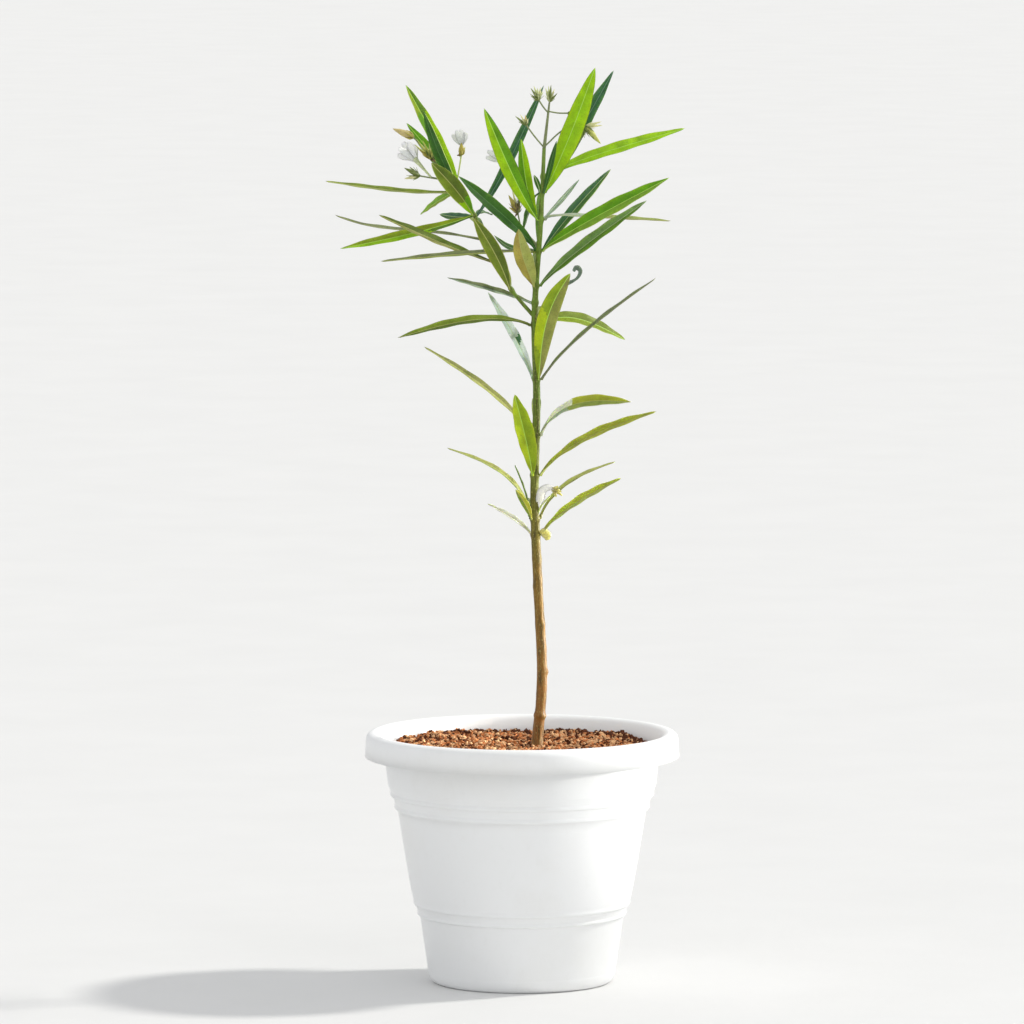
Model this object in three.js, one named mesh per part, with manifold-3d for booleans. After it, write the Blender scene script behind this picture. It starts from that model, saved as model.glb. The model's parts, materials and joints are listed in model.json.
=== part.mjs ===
// A young potted oleander: a white plastic pot with a rolled rim, its fill of coir, one thin stem
// with a side shoot on the left, whorls of long narrow leaves, and three open heads of buds.
// Millimetres, +Z up, origin at the centre of the pot's flat underside. The front is towards -Y.
import * as THREE from 'three';
import { mergeVertices } from 'three/addons/utils/BufferGeometryUtils.js';
import Module from 'manifold-3d';

const wasm = await Module();
wasm.setup();

// Pot: overall sizes, then the outside of its wall from foot to neck as radius and height. The
// wall steps in at two bands, each with a shallow ledge along its top and along its foot.
const POT_HEIGHT = 240;
const RIM_RADIUS = 150;
const RIM_CROWN = 141;
const RIM_ROUND = 8;
const RIM_SKIRT = 23;
const SKIRT_LEAN = 0.8;
const MOUTH_RADIUS = 135;
const MOUTH_LEAN = 4;
const WALL = 3;
const FLOOR = 4;
const FOOT_RADIUS = 82;
const FOOT_ROUND = 8;
const NECK_RADIUS = 130;
const WALL_COURSE = [
  [FOOT_RADIUS + FOOT_ROUND, 1.5 * FOOT_ROUND],
  [97.6, 64.5],
  [99.6, 66.5],
  [101.8, 75],
  [103.2, 77],
  [109, 99],
  [119, 167.5],
  [121.2, 170],
  [124, 179.5],
  [125.4, 181.5],
  [128, 188],
  [NECK_RADIUS, 207],
];
const TURNS = 36;
const RIM_STEPS = 3;

// Coir fill and the gap that neighbouring pieces keep.
const SOIL_TOP = 225;
const SOIL_INSET = 0.5;
const GAP = 0.3;

// Stem: thick at the foot, thin at the tip, with a short root flare.
const STEM_TIP = 798;
const STEM_FOOT_RADIUS = 5;
const STEM_TIP_RADIUS = 1.7;
const STEM_TAPER = 1.5;
const FLARE = 1.7;
const FLARE_HEIGHT = 9;
const STEM_SIDES = 8;
const STEM_STEPS = 24;

// Side shoot.
const SHOOT_FOOT_RADIUS = 1.9;
const SHOOT_TIP_RADIUS = 1.2;
const SHOOT_SIDES = 8;
const SHOOT_STEPS = 12;

// Leaves: a collar round the limb holds the short leaf stalks, and each blade is a thin lens.
const COLLAR_WALL = 1.6;
const COLLAR_HEIGHT = 5;
const COLLAR_BEVEL = 0.7;
const STALK_WIDTH = 2.6;
const STALK_THICKNESS = 1.8;
const STALK_SHARE = 0.15;
const LEAF_THICKNESS = 1.6;
const LEAF_FULLNESS = 0.9;
const LEAF_LEAST = 0.8;
const LEAF_TROUGH = 0.16;
const LEAF_PEAK = 0.4;
const LEAF_STATIONS = [0, 0.07, 0.22, 0.4, 0.58, 0.76, 0.9];

// Flower heads.
const PEDICEL_RADIUS = 0.8;
const PEDICEL_SIDES = 3;
const PEDICEL_SAG = 1.5;
const BUD_RADIUS = 1.9;
const BUD_SIDES = 4;
const BLOOM_SIDES = 6;

// The courses of the two limbs: across is to the right as seen from the front, back is away.
const STEM_COURSE = [
  { across: 14, back: 0, up: SOIL_TOP },
  { across: 19, back: -2, up: 290 },
  { across: 15, back: 1, up: 384 },
  { across: 12, back: 2, up: 465 },
  { across: 14, back: 0, up: 560 },
  { across: 12, back: 1, up: 640 },
  { across: 18, back: 2, up: 730 },
  { across: 21, back: 1, up: STEM_TIP },
];

const SHOOT_COURSE = [
  { across: 12, back: 1, up: 637 },
  { across: -10, back: 6, up: 663 },
  { across: -26, back: 10, up: 690 },
  { across: -45, back: 17, up: 733 },
  { across: -61, back: 20, up: 765 },
];

// Leaf whorls from the ground up. Every leaf is given by where its tip lies from the middle of
// its whorl. bow lifts the middle of the leaf off the straight line to its tip, peak is the share
// of its length at which it is lifted most, and face turns the upper side of the blade towards
// the front, in degrees.
const STEM_WHORLS = [
  { height: 429, colour: 'olive', leaves: [
    { across: -46, back: 50, up: 25, width: 8, bow: 3, face: 10 },
    { across: 81, back: -40, up: 58, width: 14.5, bow: 6, face: 28 },
    { across: -6, back: 95, up: 26, width: 12, bow: 12, face: 0 },
    { across: 14, back: -8, up: -3, width: 6, bow: 2, face: 40 },
  ] },
  { height: 444, colour: 'olive', leaves: [
    { across: -84, back: 25, up: 66, width: 9, bow: 17, face: 14 },
    { across: -18.5, back: -24, up: 31, width: 10, bow: 2, face: -30 },
    { across: -19, back: 2, up: 52, width: 6, bow: 3, face: 0 },
    { across: 77, back: 45, up: 51, width: 8, bow: 12, face: 10 },
    { across: 20, back: -14, up: 32, width: 10, bow: -7, face: 40 },
  ] },
  { height: 486, colour: 'lime', leaves: [
    { across: -19, back: -55, up: 82, width: 19, bow: 3, face: 0 },
    { across: 115, back: -45, up: 65, width: 16, bow: 10, face: 34 },
    { across: -10, back: 112, up: 45, width: 14, bow: 14, face: 0 },
  ] },
  { height: 524, colour: 'lime', leaves: [
    { across: -107, back: 50, up: 81, width: 11, bow: 8, face: 14 },
    { across: 90, back: -55, up: 37, width: 15, bow: 17, face: 48 },
    { across: 1, back: 98, up: 30, width: 9, bow: 12, face: 0 },
  ] },
  { height: 578, colour: 'lime', leaves: [
    { across: 32, back: -55, up: 105, width: 19, bow: 15, peak: 0.5, face: -35 },
    { across: 114, back: 25, up: 95, width: 12, bow: 6, face: 5 },
    { across: -46, back: 40, up: 80, width: 12, bow: 4, face: 12 },
  ] },
  { height: 630, colour: 'olive', leaves: [
    { across: 87, back: 45, up: -18, width: 15, bow: 12, face: 48 },
    { across: -130, back: -30, up: -10, width: 13, bow: 10, face: 30 },
    { across: 12, back: 108, up: 8, width: 11, bow: 8, face: 0 },
  ] },
  { height: 651, colour: 'olive', leaves: [
    { across: -84, back: 55, up: 20, width: 12, bow: 1, face: 15 },
  ] },
  { height: 667, colour: 'olive', leaves: [
    { across: -16.5, back: -25, up: 56, width: 17.5, bow: -4.5, peak: 0.62, face: -25 },
    { across: 105, back: -25, up: 83, width: 16.5, bow: 3.5, peak: 0.35, face: 45 },
    { across: 2, back: 112, up: 36, width: 8, bow: 8, face: 0 },
  ] },
  { height: 700, colour: 'green', leaves: [
    { across: -76, back: -40, up: 74, width: 14, bow: 4, peak: 0.25, face: 80 },
    { across: 69, back: 35, up: 76, width: 12, bow: 2, face: 34 },
    { across: 124, back: -15, up: 71, width: 18, bow: 3, peak: 0.3, face: 48 },
    { across: -150, back: -22, up: -8, width: 11.5, bow: 2, face: 20 },
    { across: -42.5, back: 75, up: 10, width: 6.5, bow: -6, peak: 0.6, face: 38 },
    { across: 2, back: 84, up: 55, width: 8, bow: 6, face: 0 },
  ] },
  { height: 730, colour: 'green', leaves: [
    { across: -54, back: -20, up: 107, width: 16, bow: -3, face: -75 },
    { across: -19, back: 9, up: 76.5, width: 12, bow: -4, face: 55 },
    { across: 124, back: 15, up: -2, width: 10, bow: 4.5, peak: 0.15, face: 20 },
    { across: 37, back: 70, up: 34, width: 5, bow: -1.5, face: 20 },
  ] },
  { height: 756, colour: 'lime', leaves: [
    { across: 50, back: -25, up: 120, width: 20, bow: -2, peak: 0.5, face: -80 },
    { across: 68, back: 35, up: 114, width: 15, bow: 0, face: 35 },
    { across: 13.5, back: -30, up: 51, width: 5.5, bow: 0, face: -30 },
    { across: -18, back: 30, up: -38, width: 9, bow: 6, face: 20 },
    { across: -8, back: -6, up: 17, width: 5, bow: 1, face: -60 },
  ] },
  { height: 771, colour: 'lime', leaves: [
    { across: 135, back: 15, up: 45, width: 13, bow: 7, peak: 0.45, face: 33 },
    { across: 30, back: 82, up: 6, width: 7, bow: 3, face: 0 },
  ] },
];

const SHOOT_WHORLS = [
  { height: 663, colour: 'olive', leaves: [
    { across: -36, back: -40, up: 71, width: 15, bow: 4, face: -50 },
    { across: -18, back: 92, up: 22, width: 10, bow: 6, face: 0 },
  ] },
  { height: 690, colour: 'olive', leaves: [
    { across: -110, back: -15, up: 45, width: 14, bow: -2, face: 30 },
    { across: -10, back: 78, up: 12, width: 10, bow: 4, face: 0 },
  ] },
  { height: 711, colour: 'olive', leaves: [
    { across: -143, back: 15, up: 22, width: 11, bow: -5, peak: 0.72, face: 12 },
    { across: -20, back: 98, up: 16, width: 10, bow: 8, face: 0 },
  ] },
  { height: 733, colour: 'green', leaves: [
    { across: -128, back: -10, up: -31, width: 12, bow: -2.5, face: 45 },
    { across: -34, back: 60, up: -3, width: 9, bow: -2, face: 48 },
    { across: 66, back: 40, up: 122, width: 10, bow: -4, face: 35 },
    { across: -41, back: -45, up: 53, width: 16.5, bow: 3, face: -50 },
    { across: 17, back: 40, up: -2, width: 9, bow: 3, face: 20 },
  ] },
  { height: 756, colour: 'green', leaves: [
    { across: -54, back: -15, up: 102, width: 15, bow: 1.5, face: 68 },
    { across: -37, back: -35, up: 78, width: 10.5, bow: -5, face: -62 },
    { across: -54, back: 50, up: 62, width: 11, bow: 1, face: 48 },
    { across: -131, back: 10, up: 9, width: 10, bow: -4, face: 22 },
    { across: -41, back: 40, up: -25, width: 11, bow: 3, face: 55 },
  ] },
];

// The dry scrap that curls off the tip of the broad leaf in whorl 5, from the whorl's middle.
const CURLED_SCRAP = [
  { across: 24, back: -42, up: 93 },
  { across: 34, back: -42, up: 97 },
  { across: 42, back: -40, up: 99 },
  { across: 45, back: -40, up: 107 },
  { across: 39, back: -40, up: 110 },
  { across: 37, back: -41, up: 106 },
];
const SCRAP_WHORL = 5;
const SCRAP_RADIUS = 1.3;

// Flower heads: each pedicel leaves the main stalk at a height on it, and ends in a fan of buds
// that point along lean, or in one open bloom. A stalk or bloom is given by where its end lies
// from its foot.
const TOP_HEAD = {
  stalk: { across: 5, back: 1, up: 43 },
  pedicels: [
    { from: 1, end: { across: -17, back: 8, up: 21 }, buds: 3, lean: { across: -4, back: 0, up: 5 } },
    { from: 2, end: { across: 39, back: 3, up: 19 }, buds: 4, lean: { across: 5, back: 0, up: -4 } },
    { from: 33.5, end: { across: -9, back: -4, up: 12.5 }, buds: 4, lean: { across: -3, back: 0, up: 5 } },
    { from: 35, end: { across: 19, back: 6, up: -2 }, buds: 2, lean: { across: 4, back: 0, up: 1 } },
    { from: 40, end: { across: 0.5, back: 0, up: 4 }, buds: 5, lean: { across: 1, back: 0, up: 6 } },
  ],
};

const SHOOT_HEAD = {
  stalk: { across: -5, back: 4, up: 7 },
  pedicels: [
    { from: 5, end: { across: -44, back: 4, up: 36 }, buds: 1, lean: { across: -6, back: 0, up: 3 } },
    { from: 5, end: { across: -22, back: 2, up: 16 }, buds: 4, lean: { across: -4, back: 0, up: 4 } },
    { from: 2, end: { across: -24, back: 0, up: 2 }, bloom: { across: -26, back: 0, up: 28 } },
    { from: 1, end: { across: -36, back: 8, up: 4 }, buds: 4, lean: { across: -6, back: 0, up: 1 } },
    { from: 1, end: { across: 4, back: 12, up: 24 }, buds: 2, lean: { across: 0, back: 0, up: 6 } },
  ],
};

const MIDDLE_HEAD = {
  height: 703,
  stalk: { across: -18, back: 14, up: 20 },
  pedicels: [
    { from: 19, end: { across: -3, back: 2, up: 14 }, buds: 5, lean: { across: 0, back: 0, up: 5 } },
  ],
};

const BUD_LENGTH = 12;
const BUD_FAN = 0.5;
const BUD_ROOT = 0.6;
const BLOOM_OUTLINE = [[0, 0.9], [0.5, 1.4], [0.7, 3], [1, 6.5]];
const SEED = 7;

const COLOURS = {
  pot: 0xf2f2f0,
  coir: 0x8a4f2c,
  bark: 0x8a7040,
  olive: 0x8a9440,
  lime: 0x86b41e,
  green: 0x4c8a2c,
  bud: 0xa8a862,
};

// A seeded stream of numbers from 0 to 1.
function seededStream(seed) {
  let state = seed;
  return () => {
    state = (state * 1664525 + 1013904223) % 4294967296;
    return state / 4294967296;
  };
}

// A point or direction from its across, back and up parts.
function place({ across, back, up }) {
  return new THREE.Vector3(across, back, up);
}

// Closed solid through rings of points. The first and last ring are capped flat, and a last ring
// of one point closes in a tip.
function loft(rings) {
  const sides = rings[0].length;
  const positions = rings.flat().flatMap((point) => [point.x, point.y, point.z]);
  const indices = [];
  for (let side = 1; side < sides - 1; side += 1) indices.push(0, side + 1, side);
  rings.slice(0, -1).forEach((ring, station) => {
    const next = rings[station + 1];
    const here = station * sides;
    const there = here + sides;
    for (let side = 0; side < sides; side += 1) {
      const after = (side + 1) % sides;
      if (next.length === 1) {
        indices.push(here + side, here + after, there);
      } else {
        indices.push(here + side, here + after, there + after);
        indices.push(here + side, there + after, there + side);
      }
    }
  });
  const last = (rings.length - 1) * sides;
  if (rings.at(-1).length > 1) {
    for (let side = 1; side < sides - 1; side += 1) indices.push(last, last + side, last + side + 1);
  }
  const geometry = new THREE.BufferGeometry();
  geometry.setAttribute('position', new THREE.Float32BufferAttribute(positions, 3));
  geometry.setIndex(indices);
  return geometry;
}

// Round ring of points square to a direction.
function ringAt(centre, direction, radius, sides) {
  const turn = new THREE.Quaternion().setFromUnitVectors(new THREE.Vector3(0, 0, 1), direction);
  return Array.from({ length: sides }, (_, side) => {
    const angle = (side / sides) * 2 * Math.PI;
    const spoke = new THREE.Vector3(Math.cos(angle) * radius, Math.sin(angle) * radius, 0);
    return spoke.applyQuaternion(turn).add(centre);
  });
}

// Tapering limb along a curve, as a tube whose radius is a function of the share of its length.
// It can overrun the curve's far end.
function limb(curve, radiusAt, sides, steps, overrun = 0) {
  const rings = Array.from({ length: steps + 1 }, (_, step) => {
    const share = step / steps;
    const direction = curve.getTangentAt(share);
    const beyond = step === steps ? overrun : 0;
    const centre = curve.getPointAt(share).addScaledVector(direction, beyond);
    return ringAt(centre, direction, radiusAt(share), sides);
  });
  return loft(rings);
}

function solidFrom(geometry) {
  const bare = geometry.clone();
  bare.deleteAttribute('normal');
  bare.deleteAttribute('uv');
  const merged = mergeVertices(bare, 1e-4);
  const vertProperties = new Float32Array(merged.attributes.position.array);
  const triVerts = new Uint32Array(merged.index.array);
  return new wasm.Manifold(new wasm.Mesh({ numProp: 3, vertProperties, triVerts }));
}

// The largest body of a solid, without the loose scraps that a cut can leave.
function mainBody(solid) {
  const bodies = solid.decompose();
  return bodies.reduce((best, body) => (body.volume() > best.volume() ? body : best));
}

function geometryFrom(solid) {
  const mesh = solid.getMesh();
  const geometry = new THREE.BufferGeometry();
  geometry.setAttribute('position', new THREE.BufferAttribute(mesh.vertProperties, 3));
  geometry.setIndex(new THREE.BufferAttribute(mesh.triVerts, 1));
  geometry.computeVertexNormals();
  return geometry;
}

function joined(geometries) {
  return geometries.map(solidFrom).reduce((whole, solid) => whole.add(solid));
}

// Pot section: from the middle of the foot up the outside, over the rolled rim, and down the
// inside, which follows the outside one wall thickness in.
function potOutline() {
  const skirtFoot = POT_HEIGHT - RIM_SKIRT;
  const skirtInside = RIM_RADIUS - WALL;
  const underside = POT_HEIGHT - WALL;
  const shoulder = POT_HEIGHT - RIM_ROUND;
  const outline = new THREE.Path();
  outline.moveTo(0, 0);
  outline.lineTo(FOOT_RADIUS, 0);
  const [foot, ...wall] = WALL_COURSE;
  outline.quadraticCurveTo(FOOT_RADIUS + FOOT_ROUND * 0.8, 0, ...foot);
  wall.forEach(([radius, height]) => outline.lineTo(radius, height));
  outline.lineTo(MOUTH_RADIUS - WALL, shoulder - 1);
  outline.quadraticCurveTo(MOUTH_RADIUS, underside, RIM_CROWN, underside);
  outline.quadraticCurveTo(skirtInside, underside, skirtInside, skirtFoot);
  outline.lineTo(RIM_RADIUS, skirtFoot);
  outline.lineTo(RIM_RADIUS - SKIRT_LEAN, shoulder);
  outline.quadraticCurveTo(RIM_RADIUS - SKIRT_LEAN, POT_HEIGHT, RIM_CROWN, POT_HEIGHT);
  outline.quadraticCurveTo(MOUTH_RADIUS, POT_HEIGHT, MOUTH_RADIUS - MOUTH_LEAN, shoulder);
  insideOutline(0).forEach(([radius, height]) => outline.lineTo(radius, height));
  return outline.getPoints(RIM_STEPS);
}

// The inside of the pot from the fill's surface down to the middle of the floor, drawn in by
// inset.
function insideOutline(inset) {
  const wall = WALL_COURSE.map(([radius, height]) => [radius - WALL - inset, height]);
  const surface = [NECK_RADIUS - WALL - inset, SOIL_TOP];
  const corner = [FOOT_RADIUS - inset, FLOOR + inset];
  return [surface, ...wall.reverse(), corner, [0, FLOOR + inset]];
}

function turnedSolid(points) {
  const geometry = new THREE.LatheGeometry(points, TURNS);
  geometry.rotateX(Math.PI / 2);
  return geometryFrom(solidFrom(geometry));
}

function pot() {
  return turnedSolid(potOutline());
}

function coirFill() {
  const points = [...insideOutline(SOIL_INSET).reverse(), [0, SOIL_TOP]];
  return turnedSolid(points.map(([radius, height]) => new THREE.Vector2(radius, height)));
}

const stemCurve = new THREE.CatmullRomCurve3(STEM_COURSE.map(place));
const shootCurve = new THREE.CatmullRomCurve3(SHOOT_COURSE.map(place));

function stemRadius(share) {
  const taper = (STEM_FOOT_RADIUS - STEM_TIP_RADIUS) * share ** STEM_TAPER;
  const height = share * stemCurve.getLength();
  return STEM_FOOT_RADIUS - taper + FLARE * Math.exp(-height / FLARE_HEIGHT);
}

function shootRadius(share) {
  return SHOOT_FOOT_RADIUS + (SHOOT_TIP_RADIUS - SHOOT_FOOT_RADIUS) * share;
}

function stemTube(extra, overrun) {
  return limb(stemCurve, (share) => stemRadius(share) + extra, STEM_SIDES, STEM_STEPS, overrun);
}

function shootTube(extra, overrun) {
  return limb(shootCurve, (share) => shootRadius(share) + extra, SHOOT_SIDES, SHOOT_STEPS, overrun);
}

// The share of a limb's length at which it reaches a height.
function shareAtHeight(curve, height) {
  let low = 0;
  let high = 1;
  while (high - low > 1e-5) {
    const middle = (low + high) / 2;
    if (curve.getPointAt(middle).z < height) low = middle;
    else high = middle;
  }
  return low;
}

// Half the width of a leaf at a share of its length: a stalk that widens into a lance.
function leafHalfWidth(share, width) {
  const blade = width * (4 * share * (1 - share)) ** LEAF_FULLNESS;
  return Math.max(blade, share < STALK_SHARE ? STALK_WIDTH : LEAF_LEAST) / 2;
}

function leafHalfThickness(share) {
  const root = STALK_THICKNESS / 2;
  const tip = LEAF_THICKNESS / 4;
  return THREE.MathUtils.lerp(root, tip, share ** 1.5);
}

// How far a leaf is lifted at a share of its length: nothing at its ends and 1 at its peak.
function leafArch(share, peak = LEAF_PEAK) {
  return Math.sin(Math.PI * share ** (Math.log(0.5) / Math.log(peak)));
}

// One leaf from its root inside the collar to its tip: a lens-shaped section, lower at the
// midrib than at its edges, carried along an arched line.
function leafBlade(leaf, rootRadius) {
  const tip = place(leaf);
  const root = new THREE.Vector3(leaf.across, leaf.back, 0).setLength(rootRadius);
  const chord = tip.clone().sub(root);
  const along = chord.clone().normalize();
  const lift = new THREE.Vector3(0, 0, 1).addScaledVector(along, -along.z).normalize();
  const lineAt = (share) => root.clone()
    .addScaledVector(chord, share)
    .addScaledVector(lift, leafArch(share, leaf.peak) * leaf.bow);
  const rings = LEAF_STATIONS.map((share) => {
    const ahead = lineAt(share + 0.01).sub(lineAt(share)).normalize();
    const upper = new THREE.Vector3(0, 0, 1).addScaledVector(ahead, -ahead.z).normalize();
    const side = new THREE.Vector3().crossVectors(upper, ahead);
    const turn = THREE.MathUtils.degToRad(leaf.face) * (side.y > 0 ? 1 : -1);
    upper.applyAxisAngle(ahead, turn);
    side.applyAxisAngle(ahead, turn);
    const halfWidth = leafHalfWidth(share, leaf.width);
    const halfThickness = leafHalfThickness(share);
    const edgeLift = halfWidth * LEAF_TROUGH;
    const corner = (out, rise) => lineAt(share).addScaledVector(side, out).addScaledVector(upper, rise);
    return [
      corner(halfWidth, edgeLift),
      corner(0, halfThickness),
      corner(-halfWidth, edgeLift),
      corner(0, -halfThickness),
    ];
  });
  return loft([...rings, [lineAt(1)]]);
}

// The collar that a whorl's leaf stalks grow from: a short barrel round its limb.
function collar(direction, limbRadius) {
  const outer = limbRadius + GAP + COLLAR_WALL;
  const half = COLLAR_HEIGHT / 2;
  const end = outer - COLLAR_BEVEL;
  const stations = [[-half, end], [-half / 3, outer], [half / 3, outer], [half, end]];
  return loft(stations.map(([offset, radius]) => {
    return ringAt(direction.clone().multiplyScalar(offset), direction, radius, STEM_SIDES);
  }));
}

function curledScrap() {
  const curve = new THREE.CatmullRomCurve3(CURLED_SCRAP.map(place));
  return limb(curve, (share) => SCRAP_RADIUS * (1 - 0.5 * share), PEDICEL_SIDES, 8);
}

// A whorl: collar, leaves and any other pieces in one, cut clear of the limb that it sits on.
function whorl({ height, leaves }, others, curve, radiusAt, clearTube) {
  const share = shareAtHeight(curve, height);
  const limbRadius = radiusAt(share);
  const rootRadius = limbRadius + GAP + COLLAR_WALL / 2;
  const blades = leaves.map((leaf) => leafBlade(leaf, rootRadius));
  const centre = curve.getPointAt(share);
  const whole = joined([collar(curve.getTangentAt(share), limbRadius), ...blades, ...others]);
  const placed = whole.translate(centre.toArray());
  return mainBody(placed.subtract(clearTube));
}

// A bud: a spindle that points along a direction.
function bud(foot, direction, length, radius) {
  const stations = [[0, 0.5], [0.4, 1]];
  const rings = stations.map(([share, size]) => {
    const centre = foot.clone().addScaledVector(direction, share * length);
    return ringAt(centre, direction, size * radius, BUD_SIDES);
  });
  return loft([...rings, [foot.clone().addScaledVector(direction, length)]]);
}

// The buds at a pedicel's end: one straight on and the rest fanned round it.
function budFan({ buds, lean }, end, random) {
  const middle = place(lean).normalize();
  const turn = new THREE.Quaternion().setFromUnitVectors(new THREE.Vector3(0, 0, 1), middle);
  return Array.from({ length: buds }, (_, index) => {
    const spread = index === 0 ? 0 : BUD_FAN;
    const angle = (index / Math.max(buds - 1, 1)) * 2 * Math.PI + random();
    const aside = new THREE.Vector3(Math.cos(angle), Math.sin(angle), 0).applyQuaternion(turn);
    const direction = middle.clone().addScaledVector(aside, spread).normalize();
    const foot = end.clone().addScaledVector(direction, -BUD_ROOT);
    return bud(foot, direction, BUD_LENGTH * (0.85 + 0.3 * random()), BUD_RADIUS);
  });
}

// An open bloom: a narrow tube that widens into a cup.
function bloomSolid(foot, reach) {
  const direction = reach.clone().normalize();
  return loft(BLOOM_OUTLINE.map(([share, radius]) => {
    return ringAt(foot.clone().addScaledVector(reach, share), direction, radius, BLOOM_SIDES);
  }));
}

// A flower head: a thin main stalk with pedicels that rise from it, buds at their ends.
function flowerHead(head, foot, footRadius, random) {
  const stalkEnd = foot.clone().add(place(head.stalk));
  const stalk = new THREE.LineCurve3(foot, stalkEnd);
  const pieces = [limb(stalk, (share) => footRadius - (footRadius - 0.9) * share, 6, 2)];
  head.pedicels.forEach((pedicel) => {
    const start = stalk.getPointAt(pedicel.from / head.stalk.up);
    const end = start.clone().add(place(pedicel.end));
    const knee = start.clone().lerp(end, 0.5).add(new THREE.Vector3(0, 0, -PEDICEL_SAG));
    const course = new THREE.QuadraticBezierCurve3(start, knee, end);
    pieces.push(limb(course, () => PEDICEL_RADIUS, PEDICEL_SIDES, 4));
    if (pedicel.bloom) pieces.push(bloomSolid(end, place(pedicel.bloom)));
    else pieces.push(...budFan(pedicel, end, random));
  });
  return joined(pieces);
}

function part(name, geometry, colour, roughness) {
  const material = new THREE.MeshStandardMaterial({ color: COLOURS[colour], roughness, metalness: 0 });
  const mesh = new THREE.Mesh(geometry, material);
  mesh.name = name;
  return mesh;
}

// The whole plant in its pot.
function pottedOleander() {
  const group = new THREE.Group();
  const random = seededStream(SEED);
  const stemClear = solidFrom(stemTube(GAP, GAP));
  const shootClear = solidFrom(shootTube(GAP, GAP));

  group.add(part('pot', pot(), 'pot', 0.35));
  group.add(part('coir_fill', coirFill(), 'coir', 0.95));

  const groundCut = new THREE.BoxGeometry(100, 100, 100).translate(0, 0, SOIL_TOP + GAP - 50);
  const stem = solidFrom(stemTube(0, 0)).subtract(solidFrom(groundCut));
  group.add(part('stem', geometryFrom(mainBody(stem)), 'bark', 0.7));
  const shoot = solidFrom(shootTube(0, 0)).subtract(stemClear);
  group.add(part('left_shoot', geometryFrom(mainBody(shoot)), 'olive', 0.6));

  STEM_WHORLS.forEach((spec, index) => {
    const others = index + 1 === SCRAP_WHORL ? [curledScrap()] : [];
    const solid = whorl(spec, others, stemCurve, stemRadius, stemClear.add(shootClear));
    const name = `leaf_whorl_${String(index + 1).padStart(2, '0')}`;
    group.add(part(name, geometryFrom(solid), spec.colour, 0.5));
  });
  SHOOT_WHORLS.forEach((spec, index) => {
    const solid = whorl(spec, [], shootCurve, shootRadius, shootClear);
    group.add(part(`shoot_whorl_${index + 1}`, geometryFrom(solid), spec.colour, 0.5));
  });

  const topHead = flowerHead(TOP_HEAD, stemCurve.getPointAt(1), STEM_TIP_RADIUS, random);
  group.add(part('top_flower_head', geometryFrom(mainBody(topHead.subtract(stemClear))), 'bud', 0.6));

  const shootHead = flowerHead(SHOOT_HEAD, shootCurve.getPointAt(1), SHOOT_TIP_RADIUS, random);
  const shootHeadCut = shootHead.subtract(shootClear);
  group.add(part('shoot_flower_head', geometryFrom(mainBody(shootHeadCut)), 'bud', 0.6));

  const middleFoot = stemCurve.getPointAt(shareAtHeight(stemCurve, MIDDLE_HEAD.height));
  const middleHead = flowerHead(MIDDLE_HEAD, middleFoot, STEM_TIP_RADIUS, random).subtract(stemClear);
  group.add(part('middle_flower_head', geometryFrom(mainBody(middleHead)), 'bud', 0.6));
  return group;
}

export default pottedOleander();
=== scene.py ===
# A young oleander in a white plastic pot with a rolled rim: its thin stem with a side shoot on the
# left, whorls of long narrow leaves, heads of buds and spent flowers, and a bed of coir crumbs.
# Sizes are millimetres, as in the solids, and MM turns them into metres. +Z is up, and the front
# is towards -Y.
import json
import math
from itertools import combinations
from typing import NamedTuple

import bpy
import numpy as np
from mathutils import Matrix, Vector, noise


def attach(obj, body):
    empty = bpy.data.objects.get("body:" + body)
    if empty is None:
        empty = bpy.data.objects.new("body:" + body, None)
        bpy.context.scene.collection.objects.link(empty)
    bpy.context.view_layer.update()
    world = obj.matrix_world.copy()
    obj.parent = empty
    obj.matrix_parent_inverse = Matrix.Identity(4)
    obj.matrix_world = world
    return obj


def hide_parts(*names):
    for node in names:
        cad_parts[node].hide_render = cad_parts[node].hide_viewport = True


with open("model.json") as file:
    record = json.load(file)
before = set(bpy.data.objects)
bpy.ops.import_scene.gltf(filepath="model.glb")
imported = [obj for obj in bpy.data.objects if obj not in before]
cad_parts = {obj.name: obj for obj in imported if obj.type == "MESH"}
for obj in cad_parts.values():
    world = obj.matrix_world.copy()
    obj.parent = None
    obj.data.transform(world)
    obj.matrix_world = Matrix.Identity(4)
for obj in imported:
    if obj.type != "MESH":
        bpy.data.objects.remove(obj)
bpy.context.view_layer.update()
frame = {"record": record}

MM = 0.001
SEED = 7
UP = np.array([0.0, 0.0, 1.0])
FRONT = np.array([0.0, -1.0, 0.25])

# Pot: the sizes of its solid, and the finer rounding of its edges.
POT_HEIGHT = 240
RIM_RADIUS = 150
RIM_CROWN = 141
RIM_ROUND = 8
RIM_SKIRT = 23
SKIRT_EDGE = 0.01
SKIRT_LEAN = 0.8
MOUTH_RADIUS = 135
MOUTH_LEAN = 4
WALL = 3
FLOOR = 4
FOOT_RADIUS = 82
FOOT_ROUND = 8
NECK_RADIUS = 130
BELLY = [(103.6, 78.5), (107.6, 94), (118.8, 166)]
WALL_COURSE = [
    (FOOT_RADIUS + FOOT_ROUND, 1.5 * FOOT_ROUND),
    (97.5, 64),
    (99.8, 65),
    (100.2, 66.6),
    (99.6, 68),
    (101.4, 74),
    (103.3, 75),
    (103.9, 76.6),
    *BELLY,
    (121.2, 167),
    (122, 169),
    (121.2, 171),
    (123.4, 178.5),
    (125.6, 179.5),
    (126.2, 181.5),
    (125.6, 183.5),
    (128, 190),
    (NECK_RADIUS, 207),
]
POT_TURNS = 240
RIM_STEPS = 10
EDGE_ROUND = 0.6
BELLY_STEPS = 16

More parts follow.
